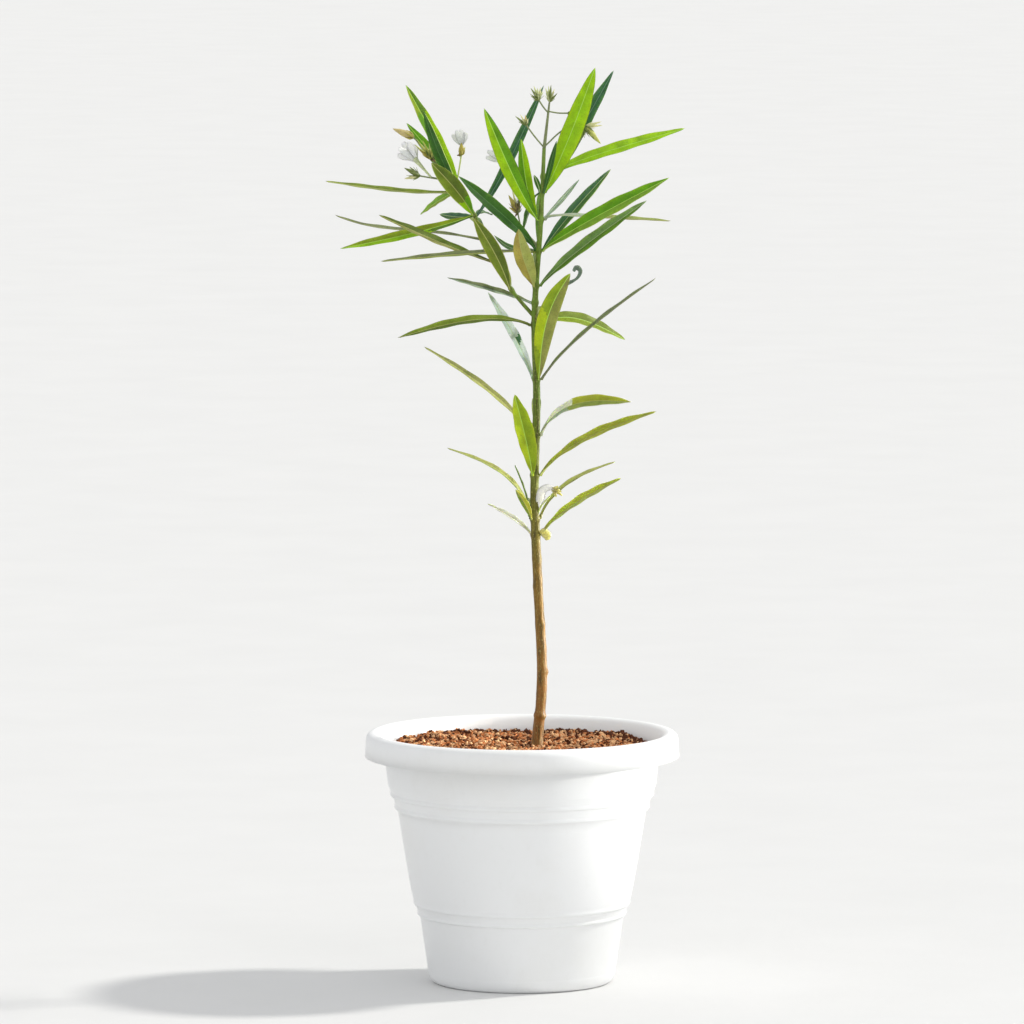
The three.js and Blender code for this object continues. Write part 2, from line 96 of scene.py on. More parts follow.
# Coir: its bed, and the crumbs and clods that lie on it, the clods round a turn from the right.
SOIL_TOP = 225
SOIL_INSET = 0.5
BED_RINGS = 70
BED_TURNS = 200
BED_WAVE = 30
BED_SWELL = 3.4
BED_SLICE = 3.1
BED_HEAP = 2.4
CRUMB_COUNTS = {"coir_pale": 2900, "coir_mid": 2700, "coir_dark": 1900}
CRUMB_SIZES = (0.9, 3.3)
CLODS = 170
CLOD_TURN = 1.1
CLOD_SIZES = (2.4, 5.2)
CLOD_BAND = 0.16
CLOD_SPREAD = 0.5
CRUMB_LUMPS = (0.65, 1.15)
CRUMB_FLATNESS = (0.45, 1.1)
CRUMB_SETTLE = (-0.4, 1.2)
BED_COLOUR = (112, 64, 34)
CRUMB_COLOURS = {"coir_pale": (240, 180, 132), "coir_mid": (198, 126, 76), "coir_dark": (84, 44, 22)}

# Stem and side shoot: courses and radii of their solids, and the relief of the bark.
STEM_TIP = 798
STEM_FOOT_RADIUS = 5
STEM_TIP_RADIUS = 1.7
STEM_TAPER = 1.5
FLARE = 1.7
FLARE_HEIGHT = 9
SHOOT_FOOT_RADIUS = 1.9
SHOOT_TIP_RADIUS = 1.2
STEM_SIDES = 40
STEM_STEPS = 420
SHOOT_SIDES = 28
SHOOT_STEPS = 150
NODE_SWELL = 0.9
NODE_SPREAD = 2.4
BARK_DEPTH = 0.3
BARK_TOP = 470
BARK_FADE = 80
BARK_LEAST = 0.25
FURROW_WIDTH = 2.2
FURROW_LENGTH = 16

# The bare scars of old leaves on the stem: height, turn round the stem from the right, and size.
SCARS = [(256, -0.4, 0.5), (298, 0.1, 1.5), (343, -0.9, 0.9), (380, 2.6, 0.5), (406, 0.3, 0.5)]
SCAR_SPREAD = 3.2

# The courses of the two limbs: across is to the right as seen from the front, then back and up.
STEM_COURSE = [
    (14, 0, SOIL_TOP),
    (19, -2, 290),
    (15, 1, 384),
    (12, 2, 465),
    (14, 0, 560),
    (12, 1, 640),
    (18, 2, 730),
    (21, 1, STEM_TIP),
]
SHOOT_COURSE = [
    (12, 1, 637),
    (-10, 6, 663),
    (-26, 10, 690),
    (-45, 17, 733),
    (-61, 20, 765),
]

# Leaves: where they leave the limb, and the blade's thickness and folds.
GAP = 0.3
COLLAR_WALL = 1.6
STALK_WIDTH = 2.4
STALK_THICKNESS = 1.7
STALK_SHARE = 0.15
STALK_RISE = 0.3
BLADE_THICKNESS = 0.5
LEAF_FULLNESS = 0.82
LEAF_PEAK = 0.4
LEAF_TROUGH = 0.16
LEAF_STEPS = 44
MIDRIB_WIDTH = 0.7
MIDRIB_DEPTH = 0.18
KEEL = 2.5
VEIN_SLANT = 0.6
MARGIN_WIDTH = 0.5
RIPPLE = 0.026
RIPPLES = 4.5
PATCH_WAVER = 0.03
PATCH_WAVES = 0.8


class Leaf(NamedTuple):
    """A leaf by its tip from the middle of its whorl, its width, how far its middle is lifted off
    the straight line to its tip, how far its rear half is turned up towards the front, the tints
    of its rear and near halves, which, where they differ, partly paint the light and shade on the
    two halves, the share of its length at which it is lifted most, the tints of its two margins
    where they differ, a cream margin being a painted rim light, and a patch of other tints: where
    it starts and ends as shares of the length, its tint on the near half and, where it has one, on
    the rear half."""

    across: float
    back: float
    up: float
    width: float
    bow: float
    face: float
    rear: str
    near: str
    peak: float = LEAF_PEAK
    rear_edge: str = ""
    near_edge: str = ""
    patch: tuple = ()


STEM_WHORLS = {
    429: [
        Leaf(-46, 50, 25, 8, 3, 10, "silver", "silver"),
        Leaf(81, -40, 58, 15.5, 6, 38, "hay", "tan", near_edge="cream"),
        Leaf(-6, 95, 26, 12, 12, 0, "olive", "moss"),
    ],
    444: [
        Leaf(-84, 25, 66, 9, 17, 14, "tan", "khaki"),
        Leaf(-18.5, -24, 31, 7.5, 2, -30, "olive", "hay"),
        Leaf(-19, 2, 52, 6, 3, 0, "moss", "fern"),
        Leaf(77, 45, 51, 8, 12, 10, "tan", "bronze"),
    ],
    486: [
        Leaf(-19, -55, 82, 19, 3, 0, "chartreuse", "leek", patch=(0.46, 0.55, "leek")),
        Leaf(115, -45, 65, 16, 10, 34, "hay", "hay", near_edge="cream"),
        Leaf(-10, 112, 45, 14, 14, 0, "khaki", "olive"),
    ],
    524: [
        Leaf(-107, 50, 81, 11, 8, 14, "bronze", "tan"),
        Leaf(90, -55, 37, 15, 17, 48, "hay", "khaki", near_edge="silver",
             patch=(0.0, 0.4, "sage", "silver")),
        Leaf(1, 98, 30, 9, 12, 0, "olive", "moss"),
    ],
    578: [
        Leaf(32, -55, 105, 19, 15, -35, "bronze", "leek", 0.5, patch=(0.24, 0.56, "chartreuse")),
        Leaf(114, 25, 95, 12, 6, 5, "slate", "slate"),
        Leaf(-46, 40, 80, 12, 4, 12, "frost", "mint", patch=(0.41, 0.49, "frost", "teal")),
    ],
    630: [
        Leaf(87, 45, -18, 15, 12, 48, "olive", "leek", near_edge="cream"),
        Leaf(-130, -30, -10, 13, 10, 30, "olive", "moss"),
        Leaf(12, 108, 8, 11, 8, 0, "olive", "moss"),
    ],
    651: [
        Leaf(-84, 55, 20, 12, 1, 15, "slate", "sage"),
    ],
    667: [
        Leaf(-16.5, -25, 56, 17.5, -4.5, -25, "amber", "tan", 0.62),
        Leaf(105, -25, 83, 16.5, 3.5, 45, "lichen", "fern", 0.35),
        Leaf(2, 112, 36, 8, 8, 0, "moss", "fern"),
    ],
    700: [
        Leaf(-76, -40, 74, 14, 4, 80, "dark", "deep", 0.25),
        Leaf(69, 35, 76, 12, 2, 34, "teal", "pine", near_edge="cream"),
        Leaf(124, -15, 71, 18, 3, 48, "leaf", "fresh", 0.3, near_edge="cream"),
        Leaf(-150, -22, -8, 11.5, 2, 20, "slate", "khaki"),
        Leaf(-42.5, 75, 10, 6.5, -6, 38, "pine", "pine", 0.6),
        Leaf(2, 84, 55, 8, 6, 0, "fern", "dark"),
    ],
    730: [
        Leaf(-54, -20, 107, 16, -3, -75, "lime", "leaf", near_edge="dark"),
        Leaf(-19, 9, 76.5, 12, -4, 55, "lime", "leaf"),
        Leaf(124, 15, -2, 10, 4.5, 20, "khaki", "bronze", 0.15, patch=(0.0, 0.4, "sage", "sage")),
        Leaf(37, 70, 34, 5, -1.5, 20, "sage", "sage", rear_edge="teal", near_edge="teal"),
    ],
    756: [
        Leaf(50, -25, 120, 20, -2, -80, "lime", "lime", 0.5, rear_edge="leaf", near_edge="leaf"),
        Leaf(68, 35, 114, 15, 0, 35, "teal", "teal"),
        Leaf(13.5, -30, 51, 5.5, 0, -30, "deep", "deep"),
        Leaf(-18, 30, -38, 9, 6, 20, "pine", "pine"),
        Leaf(-8, -6, 17, 5, 1, -60, "dark", "dark"),
    ],
    771: [
        Leaf(135, 15, 45, 14.5, 4, 42, "lime", "lime", 0.3, near_edge="leaf"),
        Leaf(30, 82, 6, 7, 3, 0, "deep", "deep"),
    ],
}

SHOOT_WHORLS = {
    663: [
        Leaf(-36, -40, 71, 15, 4, -50, "olive", "moss", near_edge="gold", rear_edge="gold"),
        Leaf(-18, 92, 22, 10, 6, 0, "olive", "moss"),
    ],
    690: [
        Leaf(-110, -15, 45, 14, -2, 30, "moss", "bronze"),
        Leaf(-10, 78, 12, 10, 4, 0, "moss", "fern"),
    ],
    711: [
        Leaf(-143, 15, 22, 11, -5, 12, "slate", "slate", 0.72),
        Leaf(-20, 98, 16, 10, 8, 0, "fern", "olive"),
    ],
    733: [
        Leaf(-128, -10, -31, 12, -2.5, 45, "leek", "lime", patch=(0.0, 0.32, "fern")),
        Leaf(-34, 60, -3, 9, -2, 48, "teal", "dark"),
        Leaf(66, 40, 122, 10, -4, 35, "teal", "teal"),
        Leaf(-41, -45, 53, 16.5, 3, -50, "olive", "moss", rear_edge="cream",
             patch=(0.02, 0.26, "leaf", "lime")),
        Leaf(17, 40, -2, 9, 3, 20, "pine", "dark"),
    ],
    756: [
        Leaf(-54, -15, 102, 15, 1.5, 68, "lime", "leaf", near_edge="cream",
             patch=(0.72, 1.0, "leek", "fern")),
        Leaf(-37, -35, 78, 10.5, -5, -62, "deep", "deep", near_edge="cream"),
        Leaf(-54, 50, 62, 11, 1, 48, "leaf", "leaf", rear_edge="dark", near_edge="sage"),
        Leaf(-131, 10, 9, 10, -4, 22, "olive", "khaki", near_edge="straw"),
        Leaf(-41, 40, -25, 11, 3, 55, "fresh", "leek", near_edge="straw"),
    ],
}

# The plain colours of the leaves, as red, green and blue from 0 to 255. Besides each leaf's own
# colour they partly paint light and shade: where a leaf's two halves differ, the darker half partly
# paints the shade of the folded blade, slate partly paints leaves in shade, and silver partly paints
# the sky's glare on a pale blade and on its edge.
TINTS = {
    "silver": (222, 222, 204),
    "mint": (178, 200, 186),
    "frost": (208, 222, 214),
    "sage": (162, 176, 152),
    "straw": (172, 180, 112),
    "khaki": (146, 156, 74),
    "hay": (162, 160, 50),
    "tan": (164, 166, 90),
    "amber": (168, 150, 74),
    "bronze": (142, 140, 74),
    "olive": (122, 136, 42),
    "moss": (98, 112, 36),
    "slate": (118, 122, 86),
    "lime": (152, 198, 8),
    "chartreuse": (172, 190, 22),
    "leek": (138, 156, 26),
    "fresh": (128, 164, 50),
    "leaf": (98, 152, 10),
    "fern": (94, 128, 36),
    "dark": (54, 96, 30),
    "deep": (50, 90, 34),
    "pine": (80, 116, 64),
    "lichen": (112, 140, 82),
    "teal": (56, 98, 70),
}
RIBS = {
    "rib_dark": (70, 116, 46),
    "rib_teal": (104, 140, 108),
    "rib_green": (176, 220, 84),
    "rib_pale": (168, 190, 132),
    "rib_olive": (176, 180, 98),
}
RIB_OF = {
    "deep": "rib_dark",
    **dict.fromkeys(["teal", "sage"], "rib_teal"),
    **dict.fromkeys(["chartreuse", "lime", "leaf", "leek", "fresh"], "rib_green"),
    **dict.fromkeys(["dark", "pine", "lichen", "fern", "mint", "frost"], "rib_pale"),
}
# Margin tints: cream is a painted rim light, the bright edge of a leaf lit from behind; gold is a yellowish
# margin.
MARGIN_TINTS_AND_RIM_LIGHT = {"cream": (206, 220, 128), "gold": (176, 172, 74)}
LEAF_FINISHES = [*TINTS, *RIBS, *MARGIN_TINTS_AND_RIM_LIGHT]

# Flower heads: how thick stalks are, how far a bud's foot sits back on its pedicel, its radius at
# shares of its length, how deep its folds are, and how far its sepals reach along it.
STALK_TIP_RADIUS = 0.9
PEDICEL_RADIUS = 0.75
PEDICEL_SIDES = 8
BUD_ROOT = 0.6
BUD_SIDES = 15
BUD_SHARES = [0, 0.12, 0.3, 0.5, 0.7, 0.86, 0.96, 1]
BUD_SWELLS = [0.35, 0.8, 1, 0.92, 0.66, 0.38, 0.16, 0.03]
BUD_FOLD = 0.12
SEPALS = 5
SEPAL_REACH = 0.42


class Bud(NamedTuple):
    """A bud by its tip from the end of its pedicel, its radius, the tints of its petals and of its
    sepals, and how open its sepals are."""

    across: float
    back: float
    up: float
    radius: float
    tint: str
    sepals: str = "moss_bud"
    openness: float = 0.25


class Pedicel(NamedTuple):
    """A pedicel by its height on the main stalk, its end from there, its buds, its tint and how far
    its middle hangs below the straight line."""

    rise: float
    reach: tuple
    buds: list
    tint: str = "stalk"
    sag: float = 0.75


# Each head: its main stalk from foot to tip, and its pedicels.
TOP_STALK = (5, 1, 43)
TOP_PEDICELS = [
    Pedicel(0.5, (-17, 8, 21), [
        Bud(-11, 0, 9, 1.2, "moss_bud"),
        Bud(-6, -2, 11, 1.1, "cream"),
        Bud(-1, 2, 10.5, 1.2, "tan"),
        Bud(2, -1, 7, 0.9, "cream"),
    ]),
    Pedicel(1.5, (39, 3, 19), [
        Bud(16, -2, 5, 1.4, "cream", "cream"),
        Bud(17, 2, 1, 1.4, "cream", "cream"),
        Bud(15, 0, -17, 2.8, "straw_bud", openness=0.1),
        Bud(9, -2, -13, 1.3, "moss_bud"),
        Bud(-8, 1, -19, 1.8, "moss_bud"),
        Bud(6, 0, -2, 1.5, "tan"),
    ], sag=-7),
    Pedicel(33.5, (-9, -4, 12.5), [
        Bud(-8, 0, 12, 1.3, "moss_bud", openness=0.6),
        Bud(-5, 2, 14, 1.2, "pale_green", "pale_green", 0.5),
        Bud(-1.5, -1, 12, 1.3, "pale_green", "pale_green", 0.4),
        Bud(2, 1, 13, 1.1, "cream", "pale_green", 0.5),
        Bud(-8, -2, 4, 1.2, "moss_bud", openness=0.4),
        Bud(4, -2, 9, 1.0, "pale_green", openness=0.5),
    ]),
    Pedicel(35, (19, 6, -2), [
        Bud(5, 0, 1, 1.2, "moss_bud"),
        Bud(3, -1, -5, 1.0, "tan"),
    ]),
    Pedicel(40, (0.5, 0, 4), [
        Bud(-4, 0, 14, 1.2, "pale_green", "pale_green", 0.3),
        Bud(-1, 1, 16, 1.1, "pale_green", "moss_bud", 0.4),
        Bud(1.5, -2, 17, 1.3, "moss_bud", openness=0.4),
        Bud(5, 1, 13, 1.2, "cream", "pale_green", 0.4),
        Bud(8, -1, 9, 1.0, "moss_bud", openness=0.3),
    ]),
]
SHOOT_STALK = (-5, 4, 7)
SHOOT_PEDICELS = [
    Pedicel(5, (-39, 4, 37), [
        Bud(-20, -2, 8.5, 3.4, "tan", "ochre", 0.0),
    ]),
    Pedicel(5, (-22, 2, 16), [
        Bud(-16, -6, 15, 1.2, "straw_bud", "ochre", 0.1),
        Bud(-14, -3, 20, 1.1, "straw_bud", "straw_bud", 0.1),
        Bud(-8, -8, 19, 1.3, "straw_bud", "straw_bud", 0.2),
        Bud(-2, -4, 20, 1.1, "pale_green", "straw_bud", 0.2),
        Bud(3, -6, 12, 1.4, "straw_bud", "moss_bud", 0.3),
        Bud(-12, -6, 10, 1.3, "ochre", "ochre", 0.2),
        Bud(-6, -7, 10, 1.4, "moss_bud", "ochre", 0.3),
        Bud(5, -5, -2, 1.3, "umber", "moss_bud", 0.2),
    ]),
    Pedicel(1, (-36, 8, 4), [
        Bud(-15, -2, 8, 2.2, "moss_bud", openness=0.5),
        Bud(-15, 1, -3, 1.9, "cream", openness=0.3),
        Bud(-10, 3, 9, 1.3, "moss_bud", openness=0.6),
    ]),
    Pedicel(1, (4, 12, 24), [
        Bud(0, 0, 12, 2.7, "ochre", "ochre", 0.1),
        Bud(-5, -1, -1, 1.3, "umber"),
        Bud(4, 1, 8, 1.3, "straw_bud"),
    ], "pale_stalk"),
]
MIDDLE_STALK = (-18, 14, 20)
MIDDLE_FOOT = 703
MIDDLE_PEDICELS = [
    Pedicel(19, (-3, 2, 14), [
        Bud(-9, 0, 17, 2.5, "ochre", "umber", 0.4),
        Bud(-6, 1, 25, 1.1, "cream"),
        Bud(2, -1, 9, 2.1, "umber"),
        Bud(2, 1, 17, 1.7, "stalk"),
        Bud(-9, -1, 5, 1.4, "ochre", "umber"),
        Bud(-3, 0, -5, 1.1, "umber"),
    ]),
]

# The one open bloom, on the side shoot: its foot on the main stalk, its pedicel and its tube.
BLOOM_RISE = 2
BLOOM_PEDICEL = (-24, 0, 2)
BLOOM_TUBE = (-16, 0, 18)
BLOOM_PETALS = [(-16, -2, 3), (-15, -5, 10), (-11, 2, 15), (-5, -3, 16), (0, 4, 13), (-11, 6, 9)]
BLOOM_PETAL_WIDTH = 8

# Faded petals: on the bud at the right of the side shoot, from its pedicel's end, and those caught
# on a leaf of the side shoot, from their place on the leaf.
FADED_END = (-57.7, 32.6, 790)
FADED_FOOT = (0, 0, 9)
FADED_PETALS = [(-9, 0, 10), (-5, -2, 14), (0, 2, 15), (5, 1, 12), (1, 3, 10)]
CAUGHT_SHARE = 0.42
CAUGHT_LEAF = (733, 2)
CAUGHT_PETALS = [(-20, -3, 5), (-19, -3, 11), (-13, -1, 17), (-7, -3, 15), (-12, 1, 3)]
FADED_WIDTH = 7

# Dry leftovers, each by points from the middle of the whorl it hangs on, and widths along them.
SCRAP = [(24, -42, 93), (33, -42, 96), (39, -41, 100), (41.5, -40, 106), (38, -39, 109.5), (35, -41, 106)]
SCRAP_WIDTHS = [2.5, 4.0, 2.5, 3.5, 5.0, 3.0]
SCRAP_WHORL = 578
HOOD = [(3.5, -2, 12), (5, -3, 20), (7, -4, 27), (12, -5, 30.5), (18, -5, 29.5)]
HOOD_WIDTHS = [3.0, 8.5, 9.0, 7.0, 4.0]
HOOD_STALK = [(3, -2, 6), (6, -3, 13), (11, -4, 19), (15, -5, 23)]
HOOD_STALK_RADIUS = 0.8
HOOD_SCRAPS = [(8, -5, -3), (7, -8, 1), (6, -3, 4), (4, -6, 6), (2, -7, -4)]
HOOD_SCRAP_TINTS = ["dry_yellow", "dry_yellow", "moss_bud", "dry_yellow", "dry_yellow"]
HOOD_SCRAP_WIDTHS = [2.0, 5.0, 3.5, 1.5]
HOOD_WHORL = 444
BRACT = [(4, -3, 3), (8, -6, 3), (10.5, -8, 0.5), (12, -9, -4)]
BRACT_WIDTHS = [2.5, 8.0, 9.5, 4.5]
BRACT_WHORL = 429

BLOSSOM_TINTS = {
    "cream": (226, 222, 168),
    "tan": (206, 188, 128),
    "umber": (132, 112, 70),
    "ochre": (190, 176, 80),
    "straw_bud": (196, 198, 104),
    "pale_green": (204, 212, 150),
    "moss_bud": (118, 132, 64),
    "white": (250, 250, 246),
    "faded": (238, 240, 234),
    "tube_green": (208, 216, 172),
    "dry_white": (240, 238, 230),
    "dry_yellow": (212, 202, 116),
    "dry_teal": (98, 118, 102),
    "stalk": (128, 138, 92),
    "pale_stalk": (190, 202, 124),
}
blossom_finish = list(BLOSSOM_TINTS).index


def srgb(red, green, blue):
    """A colour from 0 to 255 as the linear colour that a shader takes."""
    shares = np.array([red, green, blue]) / 255
    linear = np.where(shares <= 0.04045, shares / 12.92, ((shares + 0.055) / 1.055) ** 2.4)
    return (*linear, 1.0)


def unit(vector):
    return vector / np.linalg.norm(vector)


def turn_about(axis, angle):
    """The matrix of a turn about an axis."""
    x, y, z = axis
    cross = np.array([[0, -z, y], [z, 0, -x], [-y, x, 0]])
    return np.eye(3) + math.sin(angle) * cross + (1 - math.cos(angle)) * cross @ cross


def turn_from_up(direction):
    """The shortest turn that carries +Z to a direction."""
    axis = np.cross(UP, direction)
    size = np.linalg.norm(axis)
    if size < 1e-9:
        return np.eye(3) if direction[2] > 0 else np.diag([1.0, -1.0, -1.0])
    return turn_about(axis / size, math.atan2(size, direction[2]))


class Course:
    """A smooth line through points, followed by the share of its length."""

    def __init__(self, points, per_span=60):
        knots = np.array(points, float)
        ends = np.vstack([2 * knots[0] - knots[1], knots, 2 * knots[-1] - knots[-2]])
        spans = [self.span(*ends[first:first + 4], per_span) for first in range(len(knots) - 1)]
        self.points = np.vstack([*spans, knots[-1:]])
        steps = np.linalg.norm(np.diff(self.points, axis=0), axis=1)
        self.length = steps.sum()
        self.shares = np.concatenate([[0], np.cumsum(steps)]) / self.length

    @staticmethod
    def span(before, start, end, after, count):
        """Points from start up to end on a centripetal Catmull-Rom curve."""
        lead, run, tail = (
            np.linalg.norm(b - a) ** 0.5 for a, b in ((before, start), (start, end), (end, after))
        )
        leave = (start - before) / lead - (end - before) / (lead + run) + (end - start) / run
        arrive = (end - start) / run - (after - start) / (run + tail) + (after - end) / tail
        t = np.linspace(0, 1, count, endpoint=False)[:, None]
        return (
            (2 * t**3 - 3 * t**2 + 1) * start
            + (t**3 - 2 * t**2 + t) * leave * run
            + (3 * t**2 - 2 * t**3) * end
            + (t**3 - t**2) * arrive * run
        )

    def at(self, share):
        return np.array([np.interp(share, self.shares, self.points[:, axis]) for axis in range(3)])

    def direction(self, share):
        return unit(self.at(min(share + 0.01, 1)) - self.at(max(share - 0.01, 0)))

    def share_at_height(self, height):
        return float(np.interp(height, self.points[:, 2], self.shares))


class Piece:
    """Gathers the points and faces of one object, with a finish for each face."""

    def __init__(self):
        self.points = []
        self.faces = []
        self.finishes = []
        self.map = []
        self.count = 0

    def add(self, points, faces, finish=0, places=None):
        """finish is one number for all the faces, or one for each."""
        self.points.append(points)
        self.faces += [[corner + self.count for corner in face] for face in faces]
        self.finishes.append(np.broadcast_to(finish, len(faces)))
        self.map.append(np.zeros((len(points), 2)) if places is None else places)
        self.count += len(points)

    def skin(self, rings, finish=0):
        """Adds the closed surface through rings that all have the same number of points."""
        self.add(np.vstack(rings), ring_faces(len(rings), len(rings[0])), finish)

    def build(self, name, materials, slot, replaces=(), smooth=True):
        mesh = bpy.data.meshes.new(name)
        mesh.from_pydata((np.vstack(self.points) * MM).tolist(), [], self.faces)
        mesh.polygons.foreach_set("material_index", np.concatenate(self.finishes).astype(np.int32))
        mesh.polygons.foreach_set("use_smooth", np.full(len(mesh.polygons), smooth))
        corners = np.zeros(len(mesh.loops), np.int32)
        mesh.loops.foreach_get("vertex_index", corners)
        layer = mesh.uv_layers.new(name="map")
        layer.data.foreach_set("uv", np.vstack(self.map)[corners].astype(np.float32).ravel())
        for material in materials:
            mesh.materials.append(material)
        mesh.update()
        piece = bpy.data.objects.new(name, mesh)
        bpy.context.scene.collection.objects.link(piece)
        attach(piece, "root")
        if replaces:
            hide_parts(*replaces)


def circle(sides):
    """Points round a flat circle of radius 1."""
    angles = np.linspace(0, 2 * math.pi, sides, endpoint=False)
    return np.stack([np.cos(angles), np.sin(angles), np.zeros(sides)], 1)


def ring_faces(rings, sides, close_ends=True):
    """Faces of a tube of rings with the same number of points each, and of a flat cap each end."""
    here = np.arange(rings - 1)[:, None] * sides
    side = np.arange(sides)
    after = (side + 1) % sides
    quads = np.stack([here + side, here + after, here + sides + after, here + sides + side], -1)
    faces = quads.reshape(-1, 4).tolist()
    if close_ends:
        last = (rings - 1) * sides
        faces.append(list(range(sides))[::-1])
        faces.append([last + index for index in range(sides)])
    return faces


def tube(piece, course, radius_at, sides, steps, tint):
    """Adds a round tube along a course. radius_at takes the share of its length."""
    rings = []
    for share in np.linspace(0, 1, steps + 1):
        turn = turn_from_up(course.direction(share))
        rings.append(course.at(share) + circle(sides) @ turn.T * radius_at(share))
    piece.skin(rings, blossom_finish(tint))


def sheen(specular, coat, coat_roughness):
    """The shader's inputs for a surface with a soft gloss."""
    return [("Specular IOR Level", specular), ("Coat Weight", coat), ("Coat Roughness", coat_roughness)]


def clearness(weight, radius):
    """The shader's inputs for a body that lets a little light through, as far as a radius in metres
    for each of red, green and blue."""
    return [("Subsurface Weight", weight), ("Subsurface Radius", radius), ("Subsurface Scale", 1.0)]


class Finish:
    """A material's nodes, built up from its Principled shader."""

    def __init__(self, name, roughness, inputs=()):
        self.material = bpy.data.materials.new(name)
        self.material.use_nodes = True
        self.tree = self.material.node_tree
        self.shader = self.tree.nodes["Principled BSDF"]
        for socket, value in [("Roughness", roughness), *inputs]:
            self.shader.inputs[socket].default_value = value

    def node(self, kind, **values):
        made = self.tree.nodes.new(kind)
        for name, value in values.items():
            if name in made.inputs:
                made.inputs[name].default_value = value
            else:
                setattr(made, name, value)
        return made

    def link(self, source, target):
        self.tree.links.new(source, target)

    def place(self, stretch=(1, 1, 1)):
        """The place on the object in metres, stretched."""
        coordinates = self.node("ShaderNodeTexCoord")
        mapping = self.node("ShaderNodeMapping", Scale=stretch)
        self.link(coordinates.outputs["Object"], mapping.inputs["Vector"])
        return mapping.outputs["Vector"]

    def grain(self, scale, detail=4, stretch=(1, 1, 1)):
        """Noise from 0 to 1."""
        texture = self.node("ShaderNodeTexNoise", Scale=scale, Detail=detail, Roughness=0.6)
        self.link(self.place(stretch), texture.inputs["Vector"])
        return texture.outputs["Fac"]

    def ramp(self, source, stops):
        """Colours from a number, by stops of (place, colour)."""
        made = self.node("ShaderNodeValToRGB")
        elements = made.color_ramp.elements
        elements[0].position, elements[0].color = stops[0]
        elements[1].position, elements[1].color = stops[-1]
        for position, colour in stops[1:-1]:
            elements.new(position).color = colour
        self.link(source, made.inputs["Fac"])
        return made.outputs["Color"]

    def blend(self, share, first, second, mode="MIX"):
        """Mixes two colours or sockets by a share, which is a number or a socket."""
        made = self.node("ShaderNodeMix", data_type="RGBA", blend_type=mode)
        for value, socket in ((share, made.inputs[0]), (first, made.inputs[6]), (second, made.inputs[7])):
            if isinstance(value, bpy.types.NodeSocket):
                self.link(value, socket)
            else:
                socket.default_value = value
        return made.outputs[2]

    def span(self, source, low, high, bottom=0.0, top=1.0):
        """Maps a number from bottom..top to low..high."""
        ends = {"From Min": bottom, "From Max": top, "To Min": low, "To Max": high}
        made = self.node("ShaderNodeMapRange", **ends)
        self.link(source, made.inputs["Value"])
        return made.outputs["Result"]

    def paint(self, colour, roughness=None):
        self.link(colour, self.shader.inputs["Base Color"])
        if roughness is not None:
            self.link(roughness, self.shader.inputs["Roughness"])

    def relief(self, height, depth, strength=1.0):
        """A bump of a depth in millimetres."""
        made = self.node("ShaderNodeBump", Strength=strength, Distance=depth * MM)
        self.link(height, made.inputs["Height"])
        if self.shader.inputs["Normal"].is_linked:
            before = self.shader.inputs["Normal"].links[0].from_socket
            self.link(before, made.inputs["Normal"])
        self.link(made.outputs["Normal"], self.shader.inputs["Normal"])


def shade(colour, factor):
    """A linear colour made darker or lighter."""
    return (*[min(part * factor, 1.0) for part in colour[:3]], 1.0)


def leaf_material(name, colour):
    """A leathery leaf: cloudy colour, fine dark speckles, close side veins, a soft gloss, and a
    little light let through."""
    inputs = sheen(0.22, 0.06, 0.3) + clearness(0.3, (0.002, 0.003, 0.0008))
    finish = Finish(f"leaf_{name}", 0.42, inputs)
    base = srgb(*colour)
    clouds = finish.ramp(finish.grain(70, 3), [(0.32, shade(base, 0.76)), (0.68, shade(base, 1.24))])
    veins = finish.node("ShaderNodeTexWave", Scale=1.0, Distortion=0.6, bands_direction="Y")
    finish.link(finish.node("ShaderNodeUVMap", uv_map="map").outputs["UV"], veins.inputs["Vector"])
    veined = finish.blend(finish.span(veins.outputs["Fac"], 0.22, 0.0, 0.0, 0.4), clouds, shade(base, 0.6))
    speckles = finish.span(finish.grain(900, 2), 0.0, 0.6, 0.54, 0.7)
    speckled = finish.blend(speckles, veined, shade(base, 0.45))
    finish.paint(speckled, finish.span(finish.grain(220), 0.36, 0.55))
    finish.relief(veins.outputs["Fac"], 0.07)
    finish.relief(finish.grain(1500, 2), 0.05)
    return finish.material


def rib_material(name, colour):
    """The pale midrib of a leaf, or a margin tint, where cream is a painted rim light."""
    finish = Finish(name, 0.5)
    base = srgb(*colour)
    finish.paint(finish.blend(finish.grain(350), shade(base, 0.82), shade(base, 1.12)))
    finish.relief(finish.grain(1400), 0.05)
    return finish.material


def bark_material():
    """Young bark: brown at the foot, olive higher up and green at the tip."""
    finish = Finish("stem_bark", 0.6, sheen(0.15, 0.35, 0.4))
    height = finish.node("ShaderNodeSeparateXYZ")
    finish.link(finish.place(), height.inputs["Vector"])
    heights = finish.span(height.outputs["Z"], 0.0, 1.0, SOIL_TOP * MM, STEM_TIP * MM)
    waver = finish.blend(0.06, heights, finish.grain(60), "LINEAR_LIGHT")
    stops = [
        (0.0, srgb(136, 94, 44)),
        (0.1, srgb(140, 97, 40)),
        (0.18, srgb(138, 99, 36)),
        (0.3, srgb(130, 101, 32)),
        (0.36, srgb(118, 108, 34)),
        (0.45, srgb(112, 120, 36)),
        (0.6, srgb(98, 122, 34)),
        (0.83, srgb(112, 144, 44)),
        (1.0, srgb(116, 146, 60)),
    ]
    colours = finish.ramp(waver, stops)
    streaks = finish.grain(420, 5, (1, 1, 0.12))
    streaked = finish.blend(finish.span(streaks, 0.0, 0.75, 0.45, 0.65), colours, srgb(62, 54, 22))
    pores = finish.span(finish.grain(900, 3, (1, 1, 0.4)), 0.0, 0.6, 0.56, 0.68)
    finish.paint(finish.blend(pores, streaked, srgb(176, 168, 104)), finish.span(streaks, 0.5, 0.75))
    finish.relief(streaks, 0.3)
    finish.relief(finish.grain(1600, 3), 0.08)
    return finish.material


